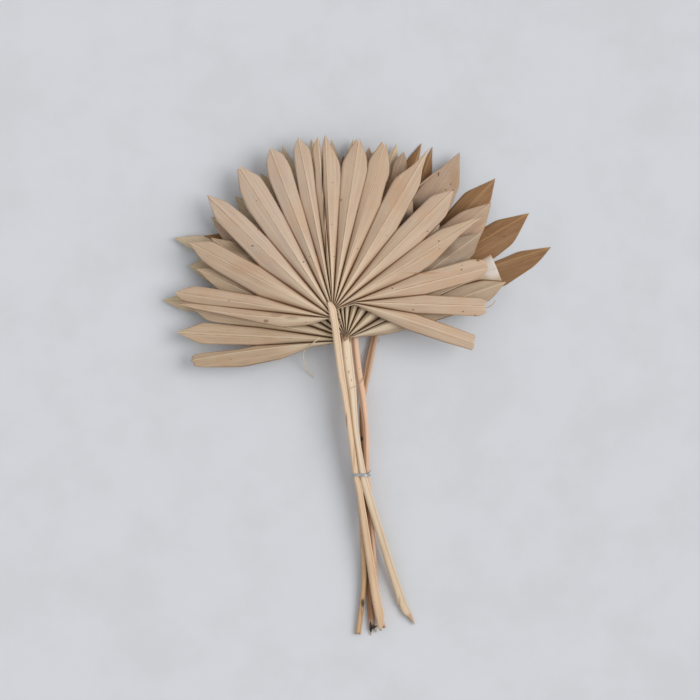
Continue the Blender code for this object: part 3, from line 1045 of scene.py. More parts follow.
@dataclass
class Stem:
    """A leaf's stem.

    Attributes:
        rows: (x, y, z, half width, half height) from the knot to the cut end.
        groove: bearing in degrees round the stem, depth and width of its channel, which is also darkened
            with painted shade.
        tear: how ragged the lower end is, in millimetres.
        slant: how much further the end reaches on the side of -x than in the middle.
        ridges: how strongly the lengthwise ribs stand out.
        scorch: how dark the very end is.
        end_reach: how far up from the end its slant and its tear are taken up.
        flatness: powers that flatten its sides and its top, 1 for round.
        sides: how many points go round it.
        step: spacing of its rings.
        swell: how much it thickens and thins along its length.
        rib_counts: how many lengthwise ribs of each kind go round it.
        scorch_reach: how far up from the end it is dark.
        lowest: the lowest place of its underside.
        end_hollow: how deep its ends are hollowed, as a share of its ring spacing.
    """

    rows: Sequence[Row]
    groove: Tuple[float, float, float] = (125.0, 0.1, 0.25)
    tear: float = 1.2
    slant: float = 0.0
    ridges: float = 0.035
    scorch: float = 0.3
    end_reach: float = 14.0
    flatness: Plan = (0.74, 0.84)
    sides: int = 36
    step: float = 2.0
    swell: float = 0.03
    rib_counts: Tuple[int, ...] = (5, 7, 11)
    scorch_reach: float = 3.0
    lowest: float = 0.05
    end_hollow: float = 0.4

    def build(self, name: str, seed: int, material: bpy.types.Material) -> bpy.types.Object:
        """Make the stem's mesh.

        Args:
            name: the piece's name.
            seed: seed of its small unevenness.
            material: its material.

        Returns:
            The object.
        """
        rng = random.Random(seed)
        path = smooth_path(self.rows, self.step)
        count = len(path)
        place = path[:, :3]
        forward = np.gradient(place, axis=0)
        forward /= np.linalg.norm(forward, axis=1)[:, None]
        side = np.stack([forward[:, 1], -forward[:, 0], np.zeros(count)], axis=1)
        side /= np.linalg.norm(side, axis=1)[:, None]
        up = np.cross(forward, side)
        up *= np.sign(up[:, 2])[:, None]
        length = float(np.sum(np.linalg.norm(np.diff(place, axis=0), axis=1)))
        along = np.concatenate([[0.0], np.cumsum(np.linalg.norm(np.diff(place, axis=0), axis=1))])
        angle = 2.0 * math.pi * np.arange(self.sides) / self.sides
        swell = 1.0 + self.swell * wander(rng, count, (90.0, 37.0, 18.0), length)
        shape = np.ones((count, self.sides))
        for ribs in self.rib_counts:
            phase = rng.uniform(0.0, 2.0 * math.pi) + 0.5 * wander(rng, count, (220.0, 130.0), length)
            shape += self.ridges / 2.0 * np.cos(ribs * angle[None, :] + phase[:, None])
        turn = np.radians(self.groove[0]) + 0.25 * wander(rng, count, (260.0, 150.0), length)
        away = np.angle(np.exp(1j * (angle[None, :] - turn[:, None])))
        hollow = np.exp(-((away / self.groove[2]) ** 2))
        shape -= self.groove[1] * hollow
        wide = path[:, 3] * swell
        high = path[:, 4] * swell
        across = np.sign(np.cos(angle)) * np.abs(np.cos(angle)) ** self.flatness[0]
        upward = np.sign(np.sin(angle)) * np.abs(np.sin(angle)) ** self.flatness[1]
        ring = (place[:, None, :]
                + side[:, None, :] * (wide[:, None] * shape * across)[:, :, None]
                + up[:, None, :] * (high[:, None] * shape * upward)[:, :, None])
        ragged = np.array([rng.uniform(-1.0, 1.0) for _ in range(self.sides)])
        ragged = ragged * self.tear + np.cos(angle) * self.slant
        late = np.clip((along - length) / self.end_reach + 1.0, 0.0, 1.0)
        ring += forward[:, None, :] * (late[:, None] * ragged[None, :])[:, :, None]
        ring[:, :, 2] = np.maximum(ring[:, :, 2], self.lowest)
        mean = float(np.mean(path[:, 3]))
        vein = np.zeros((count, self.sides, 3))
        vein[:, :, 0] = np.abs(np.angle(np.exp(1j * angle)))[None, :] * mean * 2.2
        vein[:, :, 1] = along[:, None]
        vein[:, :, 2] = seed * 7.3 + (np.sin(angle) > 0.0)[None, :] * 5.0
        marks = np.zeros((count, self.sides, 3))
        # Mask of the painted shade in the channel, strongest at its bottom.
        marks[:, :, 0] = hollow * 0.55
        dark_end = smooth_step(length - self.scorch_reach, length, along)
        marks[:, :, 1] = (self.scorch * dark_end)[:, None]
        marks[:, :, 2] = along[:, None]
        patch = Patch()
        patch.add_grid(ring, {"vein_place": vein, "leaf_place": marks}, closed=True)
        self._cap(patch, ring, vein, marks)
        return patch.to_object(name, material)

    def _cap(self, patch: Patch, ring: np.ndarray, vein: np.ndarray, marks: np.ndarray) -> None:
        """Close both ends with a shallow hollow.

        Args:
            patch: the mesh being made.
            ring: the stem's rings.
            vein: the rings' vein places.
            marks: the rings' other marks.
        """
        last = ring.shape[0] - 1
        for row, inward in ((0, 1), (last, -1)):
            towards = (ring[row + inward] - ring[row]).mean(axis=0)
            centre = ring[row].mean(axis=0) + towards * self.end_hollow
            index = patch.count
            patch.points.append(centre[None, :])
            patch.marks["vein_place"].append(vein[row].mean(axis=0)[None, :])
            patch.marks["leaf_place"].append(marks[row].mean(axis=0)[None, :])
            patch.count += 1
            base = row * self.sides
            for step in range(self.sides):
                a, b = base + step, base + (step + 1) % self.sides
                patch.faces.append((b, a, index) if inward > 0 else (a, b, index))


@dataclass
class Leaf:
    """One leaf: its place in the stack, its leaflets clockwise from the lower left, its stem.

    Attributes:
        name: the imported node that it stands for.
        hub: where its folds meet.
        layer: its place in the stack, 0 at the bottom.
        roots: where the folds start, as (share of the row of folds, point from the hub).
        leaflets: its leaflets and covered runs.
        stem: its stem.
        blade_finish: the blade's finish.
        stem_finish: the stem's finish.
        root_reach: how far off the hub a fold's line starts.
        thickness: how thick the blade is.
        row_step: spacing of the blade's rows along a leaflet.
        columns: how many points each row has from the rib to the margin.
        column_crowding: the power that crowds them near the rib, 1 for even.
        margin_step: spacing of the points along a free edge.
        fold_heights: (distance from the hub, how far the folds rise and fall there).
        fold_bulge: how far a fold's flank bulges, as a share of that.
        rib_height: how far the rib stands out.
        rib_width: how far to each side it falls away.
        sway: how much the free ends lean and lift.
        lowest: the lowest place of the blade.
        tip_gain: how much longer a tip is drawn, to make up for the eased corners.
        notch: how deep the notch of a split tip is.
        tear: how ragged a torn end is.
        corner_easing: how many times the corners are eased.
        droop_centre: where the blade is highest.
        droop_reach: how far from there it is down by its whole droop.
        lowest_hub: the height of the bottom leaf's blade where it is highest.
        layer_pitch: how much higher each next leaf is.
        lowest_droop: the bottom leaf's droop.
        layer_droop: how much more each next leaf droops.
        shoulder_setback: how far before its tip a leaflet's shoulders are.
        widest_half: the most that half a leaflet measures at its shoulders.
        neighbour_gap: half the gap left between two neighbours.
        covered_turn: how uneven the covered leaflets' bearings are, in degrees.
        covered_reach: the least and the most that is added to their reach.
        split_depth: where no split is given, how far in from the shoulders it starts: the
            least, the share of the gap between them that is added, and the most.
    """

    name: str
    hub: Plan
    layer: int
    roots: Sequence[Tuple[float, Plan]]
    leaflets: List[Union[Leaflet, Covered]]
    stem: Stem
    blade_finish: BladeFinish
    stem_finish: StemFinish
    root_reach: float = 2.0
    thickness: float = 0.34
    row_step: float = 2.2
    columns: int = 9
    column_crowding: float = 1.35
    margin_step: float = 1.2
    fold_heights: Tuple[Plan, ...] = (
        (2.0, 0.5), (8.0, 2.0), (20.0, 2.9), (50.0, 2.8), (85.0, 2.1), (115.0, 1.3), (150.0, 0.7),
        (200.0, 0.5))
    fold_bulge: float = 0.22
    rib_height: float = 0.3
    rib_width: float = 0.5
    sway: float = 0.5
    lowest: float = 0.25
    tip_gain: float = 1.2
    notch: float = 4.5
    tear: float = 1.3
    corner_easing: int = 12
    droop_centre: Plan = (0.0, 78.0)
    droop_reach: float = 170.0
    lowest_hub: float = 3.5
    layer_pitch: float = 9.5
    lowest_droop: float = 3.0
    layer_droop: float = 3.0
    shoulder_setback: float = 23.0
    widest_half: float = 12.5
    neighbour_gap: float = 0.8
    covered_turn: float = 0.8
    covered_reach: Plan = (-6.0, 4.0)
    split_depth: Point = (10.0, 1.6, 45.0)

    def mean_height(self, x: np.ndarray, y: np.ndarray) -> np.ndarray:
        """Height of the blade's middle surface, which droops towards its rim.

        Args:
            x: places across the bunch.
            y: places along it.

        Returns:
            The heights.
        """
        droop = self.lowest_droop + self.layer_droop * self.layer
        span = np.hypot(x - self.droop_centre[0], y - self.droop_centre[1]) / self.droop_reach
        return self.lowest_hub + self.layer_pitch * self.layer - droop * span**2

    def spread_covered(self, rng: random.Random) -> List[Leaflet]:
        """The leaflets, with each covered run replaced by leaflets of its own.

        Args:
            rng: source of their unevenness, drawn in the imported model's order.

        Returns:
            All leaflets clockwise.
        """
        row: List[Leaflet] = []
        for index, item in enumerate(self.leaflets):
            if isinstance(item, Leaflet):
                row.append(item)
                continue
            start = bearing(self.leaflets[index - 1].tip)
            end = bearing(self.leaflets[index + 1].tip)
            for step in range(1, item.count + 1):
                angle = start + (end - start) * step / (item.count + 1)
                angle += rng.uniform(-self.covered_turn, self.covered_turn)
                tip = at_bearing(angle, item.distance + rng.uniform(*self.covered_reach))
                row.append(Leaflet(tip, neck=item.necks[step - 1] if item.necks else None))
        return row

    def half_width(self, one: Leaflet, other: Optional[Leaflet]) -> float:
        """Half the width that two neighbours each have room for at their shoulders.

        Args:
            one: a leaflet.
            other: its neighbour, or None past the last.

        Returns:
            The half width.
        """
        if other is None:
            return self.widest_half
        gap = math.radians(abs(bearing(one.tip) - bearing(other.tip)))
        room = gap * (min(reach(one.tip), reach(other.tip)) - self.shoulder_setback)
        return min(self.widest_half, room / 2.0 - self.neighbour_gap)

    def shoulder(self, leaflet: Leaflet, side: int, width: float) -> Plan:
        """The corner where the straight cut to the tip starts.

        Args:
            leaflet: the leaflet.
            side: 1 for its left, -1 for its right.
            width: the half width there.

        Returns:
            The corner.
        """
        length = reach(leaflet.tip)
        out = (leaflet.tip[0] / length, leaflet.tip[1] / length)
        return (
            leaflet.tip[0] - out[0] * self.shoulder_setback - out[1] * width * side,
            leaflet.tip[1] - out[1] * self.shoulder_setback + out[0] * width * side,
        )

    def complete(self, rng: random.Random) -> List[Leaflet]:
        """Every leaflet with its shoulders and splits worked out.

        Args:
            rng: source of the covered leaflets' unevenness.

        Returns:
            The leaflets clockwise.
        """
        row = self.spread_covered(rng)
        least, share, most = self.split_depth
        for before, here, after in zip([None] + row[:-1], row, row[1:] + [None]):
            if not here.left:
                here.left = [self.shoulder(here, 1, self.half_width(here, before))]
            if not here.right:
                here.right = [self.shoulder(here, -1, self.half_width(here, after))]
        for here, after in zip(row, row[1:]):
            if here.split is None:
                corner, facing = here.right[0], after.left[0]
                depth = min(most, least + share * reach(corner, facing))
                distance = min(reach(corner), reach(facing)) - depth
                here.split = at_bearing((bearing(corner) + bearing(facing)) / 2.0, distance)
        for here in row:
            if here.end is End.POINTED:
                here.tip = at_bearing(bearing(here.tip), reach(here.tip) + self.tip_gain)
        return row

    def root_at(self, share: float) -> Plan:
        """Where a fold meets the hub.

        Args:
            share: place along the row of folds, 0 at the first and 1 at the last.

        Returns:
            The place from the hub.
        """
        places = [place for place, _ in self.roots]
        return tuple(
            float(np.interp(share, places, [point[k] for _, point in self.roots])) for k in (0, 1))

    def fold_line(self, root: Plan, end: Plan, bow: float, neck: Optional[Plan]) -> np.ndarray:
        """A fold from the hub to its end, through its neck.

        Args:
            root: where it meets the hub.
            end: where it ends.
            bow: how far it bends to the left at its middle.
            neck: where it is pinched, or None.

        Returns:
            Points from 2 mm off the root to the end.
        """
        start = neck or root
        length = reach(end, start)
        across = (-(end[1] - start[1]) / length, (end[0] - start[0]) / length)
        shares = np.linspace(0.0, 1.0, 60)
        bend = 4.0 * bow * shares * (1.0 - shares)
        line = np.stack([
            start[k] + (end[k] - start[k]) * shares + across[k] * bend for k in (0, 1)], axis=1)
        if neck:
            line = np.vstack([np.array([root]), line])
        share = self.root_reach / max(reach(line[1], line[0]), self.root_reach)
        near = between(line[0], line[1], share)
        return np.vstack([np.array([near]), line[1:]])

    def half_grid(self, spine: np.ndarray,
                  margin: np.ndarray) -> Tuple[np.ndarray, np.ndarray, np.ndarray]:
        """Rows from a leaflet's midrib to one margin.

        Args:
            spine: the midrib's points.
            margin: the margin's points.

        Returns:
            Places in plan (rows, columns, 2), the share of the full half width at each
            place, and the distance from the margin.
        """
        length = float(np.sum(np.linalg.norm(np.diff(spine, axis=0), axis=1)))
        rows = max(12, int(length / self.row_step))
        shares = np.linspace(0.0, 1.0, rows)
        inner, outer = resample(spine, shares), resample(margin, shares)
        width = np.linalg.norm(outer - inner, axis=1)
        full = np.maximum.accumulate(width)
        across = (np.arange(self.columns) / (self.columns - 1)) ** self.column_crowding
        grid = inner[:, None, :] + (outer - inner)[:, None, :] * across[None, :, None]
        share = across[None, :] * (width / np.maximum(full, 0.01))[:, None]
        rim = (1.0 - across)[None, :] * width[:, None]
        return grid, share, rim

    def blade(self, material: bpy.types.Material) -> bpy.types.Object:
        """Make the pleated blade: a ridge at each midrib and a valley at each margin.

        Args:
            material: its material.

        Returns:
            The object, with its thickness on it.
        """
        leaflets = self.complete(random.Random(SEED + self.layer))
        rng = random.Random(SEED * 3 + self.layer)
        folds = 2 * len(leaflets)
        roots = [self.root_at(index / folds) for index in range(folds + 1)]
        patch = Patch()
        for n, item in enumerate(leaflets):
            spine = self.fold_line(roots[2 * n + 1], item.tip, item.bow, item.neck)
            before = leaflets[n - 1] if n else None
            after = leaflets[n + 1] if n + 1 < len(leaflets) else None
            pointed = item.end is End.POINTED
            left = self._margin(roots[2 * n], before, item, item.left, item.twin or item.tip, pointed)
            right = self._margin(roots[2 * n + 2], item, after, item.right, item.tip, pointed)
            tone = item.tone or (rng.uniform(-1.0, 1.0), rng.uniform(-0.5, 0.5))
            sway = rng.uniform(-1.0, 1.0)
            splits = (reach(before.split) if before else FREE_SPLIT,
                      reach(item.split) if after else FREE_SPLIT)
            inner = self._cut_short(spine, self.notch) if item.twin else spine
            for side, rib, margin, split in ((1, inner, left, splits[0]), (-1, spine, right, splits[1])):
                self._add_half(patch, n, item, side, rib, margin, (*tone, sway, split))
        piece = patch.to_object(self.name.replace("leaf", "blade"), material)
        shell = piece.modifiers.new("leaf_thickness", "SOLIDIFY")
        shell.thickness = self.thickness * MM
        shell.offset = 0.0
        return piece

    @staticmethod
    def _cut_short(line: np.ndarray, by: float) -> np.ndarray:
        """A line without its last part.

        Args:
            line: the line's points.
            by: how much of its length goes.

        Returns:
            The shorter line.
        """
        length = float(np.sum(np.linalg.norm(np.diff(line, axis=0), axis=1)))
        return resample(line, np.linspace(0.0, 1.0 - by / length, len(line)))

    def _margin(self, root: Plan, one: Optional[Leaflet], other: Optional[Leaflet],
                corners: Sequence[Plan], tip: Plan, pointed: bool) -> np.ndarray:
        """A leaflet's margin: the fold it shares with its neighbour, then its own edge.

        Args:
            root: where the fold meets the hub.
            one: the leaflet on the fold's left, or None at the row's start.
            other: the leaflet on its right, or None at the row's end.
            corners: the outline's corners past the split.
            tip: where the outline ends if the leaflet is pointed.
            pointed: whether it is, or else the outline ends at its last corner.

        Returns:
            The margin's points, with eased corners.
        """
        end = [tip] if pointed else []
        if one is None or other is None:
            inner = self.fold_line(root, corners[0], 0.0, None)
            own = list(corners[1:]) + end
        else:
            neck = between(one.neck, other.neck, 0.5) if one.neck and other.neck else None
            inner = self.fold_line(root, one.split, 0.0, neck)
            own = list(corners) + end
        outer = np.array([tuple(inner[-1])] + [tuple(corner) for corner in own])
        length = float(np.sum(np.linalg.norm(np.diff(outer, axis=0), axis=1)))
        outer = resample(outer, np.linspace(0.0, 1.0, max(8, int(length / self.margin_step))))
        for _ in range(self.corner_easing):
            outer[1:-1] = (outer[:-2] + outer[1:-1] * 2.0 + outer[2:]) / 4.0
        return np.vstack([inner, outer[1:]])

    def _add_half(self, patch: Patch, index: int, item: Leaflet, side: int, spine: np.ndarray,
                  margin: np.ndarray, traits: Row4) -> None:
        """Add the part of a leaflet on one side of its midrib.

        Args:
            patch: the mesh being made.
            index: the leaflet's place in the row.
            item: the leaflet.
            side: 1 for its left, -1 for its right.
            spine: its midrib.
            margin: its margin on that side.
            traits: how light and how warm it is, how its free end leans (each -1 to 1), and how
                far from the hub it parts from its neighbour on that side.
        """
        look, warm, sway, split = traits
        grid, share, rim = self.half_grid(spine, margin)
        if item.end is End.TORN:
            grid = self._torn(grid, item.tip, random.Random(SEED + 17 * index + side))
        out = np.hypot(grid[:, :, 0], grid[:, :, 1])
        x, y = grid[:, :, 0] + self.hub[0], grid[:, :, 1] + self.hub[1]
        places, heights = zip(*self.fold_heights)
        fold = np.interp(out, places, heights)
        end = reach(item.tip)
        free = smooth_step(end * 0.6, end, out)
        rib = np.linalg.norm(grid - grid[:, :1, :], axis=2)
        bulge = self.fold_bulge * np.sin(math.pi * share)
        z = self.mean_height(x, y) + fold * (1.0 - 2.0 * share + bulge)
        z += self.rib_height * np.exp(-((rib / self.rib_width) ** 2)) * smooth_step(10.0, 40.0, out)
        z += free * (item.lift + self.sway * sway + self.sway * sway * side * share)
        z = np.maximum(z, self.lowest)
        vein = np.stack(
            [share * VEIN_SPAN * side, out, np.full_like(out, index * 3.7 + side)], axis=2)
        place = np.stack([rib * side, rim, out], axis=2)
        tint = np.stack([np.full_like(out, look), np.full_like(out, warm), out - split], axis=2)
        marks = {"vein_place": vein, "leaf_place": place, "tint": tint}
        points = np.stack([x, y, z], axis=2)
        if side > 0:
            points = points[:, ::-1]
            marks = {name: values[:, ::-1] for name, values in marks.items()}
        patch.add_grid(points, marks)

    def _torn(self, grid: np.ndarray, tip: Plan, rng: random.Random) -> np.ndarray:
        """Make the last rows of half a leaflet ragged.

        Args:
            grid: places in plan, the rib's first.
            tip: where the leaflet ends.
            rng: source of the raggedness.

        Returns:
            The places.
        """
        rows, columns = grid.shape[:2]
        ragged = [0.0] + [rng.uniform(-self.tear, self.tear * 0.3) for _ in range(columns - 1)]
        share = smooth_step(rows - 5.0, rows - 1.0, np.arange(rows, dtype=float))
        out = np.array(tip) / reach(tip)
        return grid + share[:, None, None] * np.array(ragged)[None, :, None] * out

    def build(self, effects: Effects) -> None:
        """Make and dress the blade and the stem, and hand them over.

        Args:
            effects: the shared effects.
        """
        blade = self.blade(self.blade_finish.material(self.name + "_dry_blade", effects))
        hand_over(blade, self.name)
        stem = self.stem.build(
            self.name.replace("leaf", "stem"), SEED + self.layer,
            self.stem_finish.material(self.name + "_dry_stem", effects))
        hand_over(stem, self.name)


STRAW = BladeFinish(
    base=srgb(196, 170, 145), pale=srgb(228, 208, 180), dark=srgb(162, 130, 100),
    blush=srgb(194, 160, 130), dull=srgb(184, 164, 147), fold=srgb(122, 80, 42),
    rim=srgb(158, 108, 76),
    spots_and_painted_light=(SpotOrPaintedLight((-91, 65), (3.4, 2.2), srgb(120, 84, 62), 0.7),
            SpotOrPaintedLight((-81, 71), (9, 2.6), srgb(162, 126, 98), 0.45),
            SpotOrPaintedLight((-65, 68), (9, 2.4), srgb(162, 126, 98), 0.4),
            SpotOrPaintedLight((-104.6, 140.2), (1.8, 1.2), srgb(92, 64, 44)),
            SpotOrPaintedLight((-53.5, 124.1), (1.2, 1.2)), SpotOrPaintedLight((81.8, 145), (1.3, 1.1)),
            SpotOrPaintedLight((70.5, 154.8), (1.2, 1.0)), SpotOrPaintedLight((35.3, 97.6), (1.1, 1.1)),
            SpotOrPaintedLight((56.2, 76.3), (1.3, 1.1)), SpotOrPaintedLight((106, 74.5), (1.2, 1.0)),
            SpotOrPaintedLight((118.2, 70.7), (1.1, 1.0)), SpotOrPaintedLight((96.4, 195.9), (1.5, 1.3)),
            SpotOrPaintedLight((104.6, 116.3), (1.4, 1.1), srgb(110, 76, 50)),
            SpotOrPaintedLight((-15.7, 186), (1.0, 1.6)), SpotOrPaintedLight((120.9, 125.4), (2.4, 1.4), srgb(96, 74, 44)),
            SpotOrPaintedLight((67, 113), (26, 1.1), srgb(168, 112, 76), 0.45),
            # The next three marks are painted shade along the gap between two leaflets of this leaf.
            SpotOrPaintedLight((-34.6, 213), (1.5, 27), srgb(74, 46, 24), 0.9),
            SpotOrPaintedLight((-33.0, 178), (1.4, 25), srgb(84, 54, 30), 0.85),
            SpotOrPaintedLight((-31.4, 140), (1.2, 24), srgb(92, 60, 34), 0.8),
            SpotOrPaintedLight((-40, 120), (5, 14), srgb(206, 170, 136), 0.4),
            SpotOrPaintedLight((-112, 118), (22, 9), srgb(180, 140, 106), 0.35),
            SpotOrPaintedLight((-60, 170), (14, 22), srgb(202, 166, 132), 0.35),
            SpotOrPaintedLight((40, 190), (16, 22), srgb(190, 152, 116), 0.4),
            SpotOrPaintedLight((90, 130), (30, 9), srgb(194, 158, 122), 0.35)))
GREY_STRAW = BladeFinish(
    base=srgb(187, 163, 136), pale=srgb(224, 206, 178), dark=srgb(144, 116, 88),
    blush=srgb(184, 152, 122), dull=srgb(170, 149, 128), fold=srgb(94, 62, 32),
    rim=srgb(150, 108, 76), fold_strength=0.95,
    # The first mark on the next line is a painted highlight: the lit half of a folded leaflet painted near
    # white.
    spots_and_painted_light=(SpotOrPaintedLight((136, 118), (13, 14), srgb(214, 204, 194), 0.95),
            SpotOrPaintedLight((124, 139), (7, 11), srgb(140, 118, 100), 0.5),
            # The next two marks are painted shade where the leaves in front cast shadow on this leaf.
            SpotOrPaintedLight((46, 163), (13, 19), srgb(70, 48, 28), 0.85),
            SpotOrPaintedLight((-112, 138), (26, 9), srgb(112, 84, 58), 0.6),
            SpotOrPaintedLight((82, 135), (24, 10), srgb(110, 84, 62), 0.5)))
GREY_TAN = BladeFinish(
    base=srgb(185, 157, 132), pale=srgb(208, 186, 162), dark=srgb(138, 108, 84),
    blush=srgb(180, 145, 114), dull=srgb(170, 148, 130), fold=srgb(84, 58, 36),
    rim=srgb(146, 106, 74),
    spots_and_painted_light=(SpotOrPaintedLight((98.6, 206), (9, 15), srgb(166, 134, 102), 0.6),
            SpotOrPaintedLight((81.5, 211.8), (0.9, 2.9), srgb(74, 46, 28), 0.9),
            SpotOrPaintedLight((93.6, 201.8), (1.1, 1.1)), SpotOrPaintedLight((88.8, 196.2), (1.3, 1.1)),
            # Painted shade in the dark gap between two leaflets of the front leaf.
            SpotOrPaintedLight((52, 170), (22, 22), srgb(74, 50, 28), 0.85),
            SpotOrPaintedLight((78, 168), (16, 12), srgb(120, 92, 68), 0.5)))
GREEN_TAN = BladeFinish(
    base=srgb(204, 184, 154), pale=srgb(220, 204, 174), dark=srgb(154, 128, 96),
    blush=srgb(192, 164, 132), dull=srgb(190, 174, 150), fold=srgb(100, 74, 46),
    rim=srgb(150, 114, 76))
BROWN = BladeFinish(
    base=srgb(142, 103, 64), pale=srgb(184, 146, 104), dark=srgb(102, 68, 38),
    blush=srgb(126, 88, 52), dull=srgb(148, 114, 80), fold=srgb(70, 44, 24),
    rim=srgb(184, 142, 92),
    spots_and_painted_light=(SpotOrPaintedLight((69.3, 211), (1.2, 2.3), srgb(176, 84, 40), 0.9),
            SpotOrPaintedLight((131, 150.5), (1.1, 1.0)), SpotOrPaintedLight((147, 149.4), (1.1, 1.0))))

STEM_STRAW = StemFinish(
    base=srgb(216, 186, 152), pale=srgb(240, 214, 184), dark=srgb(192, 156, 118),
    groove=srgb(168, 130, 94),
    spots_and_painted_light=(SpotOrPaintedLight((-10.6, -36), (1.4, 13), srgb(160, 116, 80), 0.7),
            SpotOrPaintedLight((-3, -70), (1.1, 18), srgb(176, 134, 96), 0.5)))
STEM_PALE = StemFinish(
    base=srgb(214, 192, 162), pale=srgb(240, 220, 194), dark=srgb(194, 164, 128),
    groove=srgb(160, 122, 84),
    spots_and_painted_light=(SpotOrPaintedLight((-8.3, 14), (1.3, 2.4), srgb(158, 116, 84), 0.6),
            SpotOrPaintedLight((-5.6, 6), (1.1, 2.0), srgb(158, 116, 84), 0.5),
            SpotOrPaintedLight((53.5, -233), (7, 8), srgb(172, 126, 88), 0.55),
            SpotOrPaintedLight((42.6, -216), (1.1, 9), srgb(176, 134, 92), 0.6)))
STEM_RED = StemFinish(
    base=srgb(208, 168, 138), pale=srgb(230, 194, 164), dark=srgb(168, 120, 88),
    groove=srgb(122, 82, 56))
STEM_TAN = StemFinish(
    base=srgb(198, 162, 122), pale=srgb(214, 184, 146), dark=srgb(160, 122, 84),
    groove=srgb(132, 96, 64),
    spots_and_painted_light=(SpotOrPaintedLight((5.7, -217), (2.4, 6.0), srgb(72, 50, 34), 0.95),
            SpotOrPaintedLight((4.4, -226), (1.0, 8), srgb(130, 92, 62), 0.6)))
STEM_BROWN = StemFinish(
    base=srgb(180, 136, 100), pale=srgb(206, 166, 130), dark=srgb(132, 90, 58),
    groove=srgb(96, 64, 40),
    spots_and_painted_light=(SpotOrPaintedLight((4.6, -52.8), (2.0, 3.4), srgb(48, 30, 20), 0.95),
            SpotOrPaintedLight((13.4, -236), (3.4, 4), srgb(176, 150, 132), 0.6)))


def front_leaf() -> Leaf:
    """The leaf on top, whose whole blade shows.

    Returns:
        The leaf.
    """
    return Leaf(
        name="leaf_front",
        hub=(-24.0, 76.0),
        layer=4,
        roots=((0.12, (-1.8, -8.0)), (0.35, (0.0, 0.0))),
        leaflets=[
            Leaflet((-154.5, 6.0), [(-22, -14.5), (-50, -17.5), (-118, -3)], [(-148, 7.2)],
                    (-136, 6.2), 5, tone=(-0.5, 0.6)),
            Leaflet((-157, 17), [(-153, 10)], [(-127, 22.5), (-142, 24)], (-74.8, 14.3), -1,
                    tone=(-0.3, 0.5)),
            Leaflet((-142.8, 67.1), [(-120, 41), (-133, 51)], [(-121.8, 69)], (-73.3, 43.7),
                    tone=(-0.6, 0.2)),
            Leaflet((-125, 114.3), [(-118, 90.7)], [(-88.6, 94.5), (-106.5, 108.6)], (-64.8, 71.6),
                    tone=(0.3, -0.9)),
            Leaflet((-93.7, 143.6), [(-86, 101), (-93.7, 120)], [(-65.7, 122.6), (-73.3, 134.1)],
                    (-49, 94), twin=(-95.6, 140.6), tone=(0.5, -1.0)),
            Leaflet((-62.5, 160.9), [(-65, 132.8), (-67, 148.1)], [(-42.4, 143), (-50.3, 157)],
                    (-33, 112), tone=(0.4, -1.0)),
            Leaflet((-34.4, 171.7), [(-37.5, 140), (-40, 161)], [(-19.7, 141.7), (-23, 161)],
                    (-17.5, 122), tone=(0.3, -0.7)),
            Leaflet((-15, 172.3), [(-18, 142), (-21.3, 160.9)], [(-12.5, 164)], (-10.3, 122),
                    tone=(-0.2, 0.0)),
            Leaflet((-7.6, 174.3), [(-10.8, 165)], [(7, 147)], (7.8, 134), tone=(0.4, 0.0)),
            Leaflet((26.3, 171), [(9, 148)], [(34, 153.1)], (34.4, 139), twin=(23.4, 171.2),
                    tone=(0.4, 0.1)),
            Leaflet((52.6, 167.3), [(35.4, 149.9)], [(52.3, 125.3), (56.5, 135.5), (56.5, 147)],
                    (47.5, 105.4), twin=(48.8, 168.4), tone=(-0.1, 0.7)),
            Leaflet((95.7, 161), [(61.2, 131.6), (81.6, 146.3)], [(87.4, 125.9), (89, 140)],
                    (63.8, 80.5), tone=(0.1, 0.2)),
            Leaflet((120.5, 119.8), [(78.5, 95), (98.2, 114.4)], [(113.7, 94.6)], (88.5, 68.5),
                    tone=(0.3, 0.1)),
            Leaflet((148, 92), [(107.8, 81), (141, 91.6)], [(98.6, 45.3), (127, 75.1)], (86.5, 37),
                    tone=(-0.2, 0.5)),
            Leaflet((155.4, 42.1), [(138, 50.9), (153.4, 50.2)], [(139.6, 29.5), (150.9, 35.8)],
                    (92.1, 15.5), neck=(22, 8.6), end=End.TORN, tone=(0.1, 0.4)),
            Leaflet((153, 3.6), [(149.5, 11.9), (154.4, 8.8)],
                    [(104.4, -4.2), (147.2, -6.5), (152.8, -3.5)],
                    (82.2, -3.5), neck=(22, 7.5), end=End.TORN, tone=(0.3, 0.1)),
            Leaflet((141.4, -33.0), [(120.4, -17.2), (142.8, -25.2)],
                    [(22, 5.4), (47, -7.3), (77.6, -21), (112, -32.5), (140.4, -40.6)],
                    bow=1, neck=(22, 6.4), end=End.TORN, tone=(0.0, 0.3)),
        ],
        stem=Stem(rows=[
            (-28.6, 84.5, 44.6, 1.2, 0.9), (-26.6, 81, 45.0, 2.8, 1.8), (-24.6, 76, 44.8, 3.7, 2.6),
            (-23.4, 69, 43.8, 3.7, 2.8), (-22.0, 61, 42.0, 3.6, 2.8), (-19.4, 41, 38.8, 3.6, 2.8),
            (-15.5, 11, 34.6, 3.5, 2.8), (-12.9, -4, 32.6, 3.1, 2.7), (-7.1, -44, 26.8, 2.7, 2.7),
            (-0.9, -89, 21.1, 3.1, 2.7), (3.1, -109, 19.4, 3.3, 2.8),
            (17.8, -204, 11.8, 4.2, 2.9), (22.2, -227, 9.9, 4.4, 2.9), (23.2, -234, 9.6, 3.8, 2.7),
            (23.4, -240, 9.2, 2.6, 2.3), (23.4, -244.4, 9.0, 0.7, 1.2)], tear=0.6),
        blade_finish=STRAW,
        stem_finish=STEM_STRAW,
    )


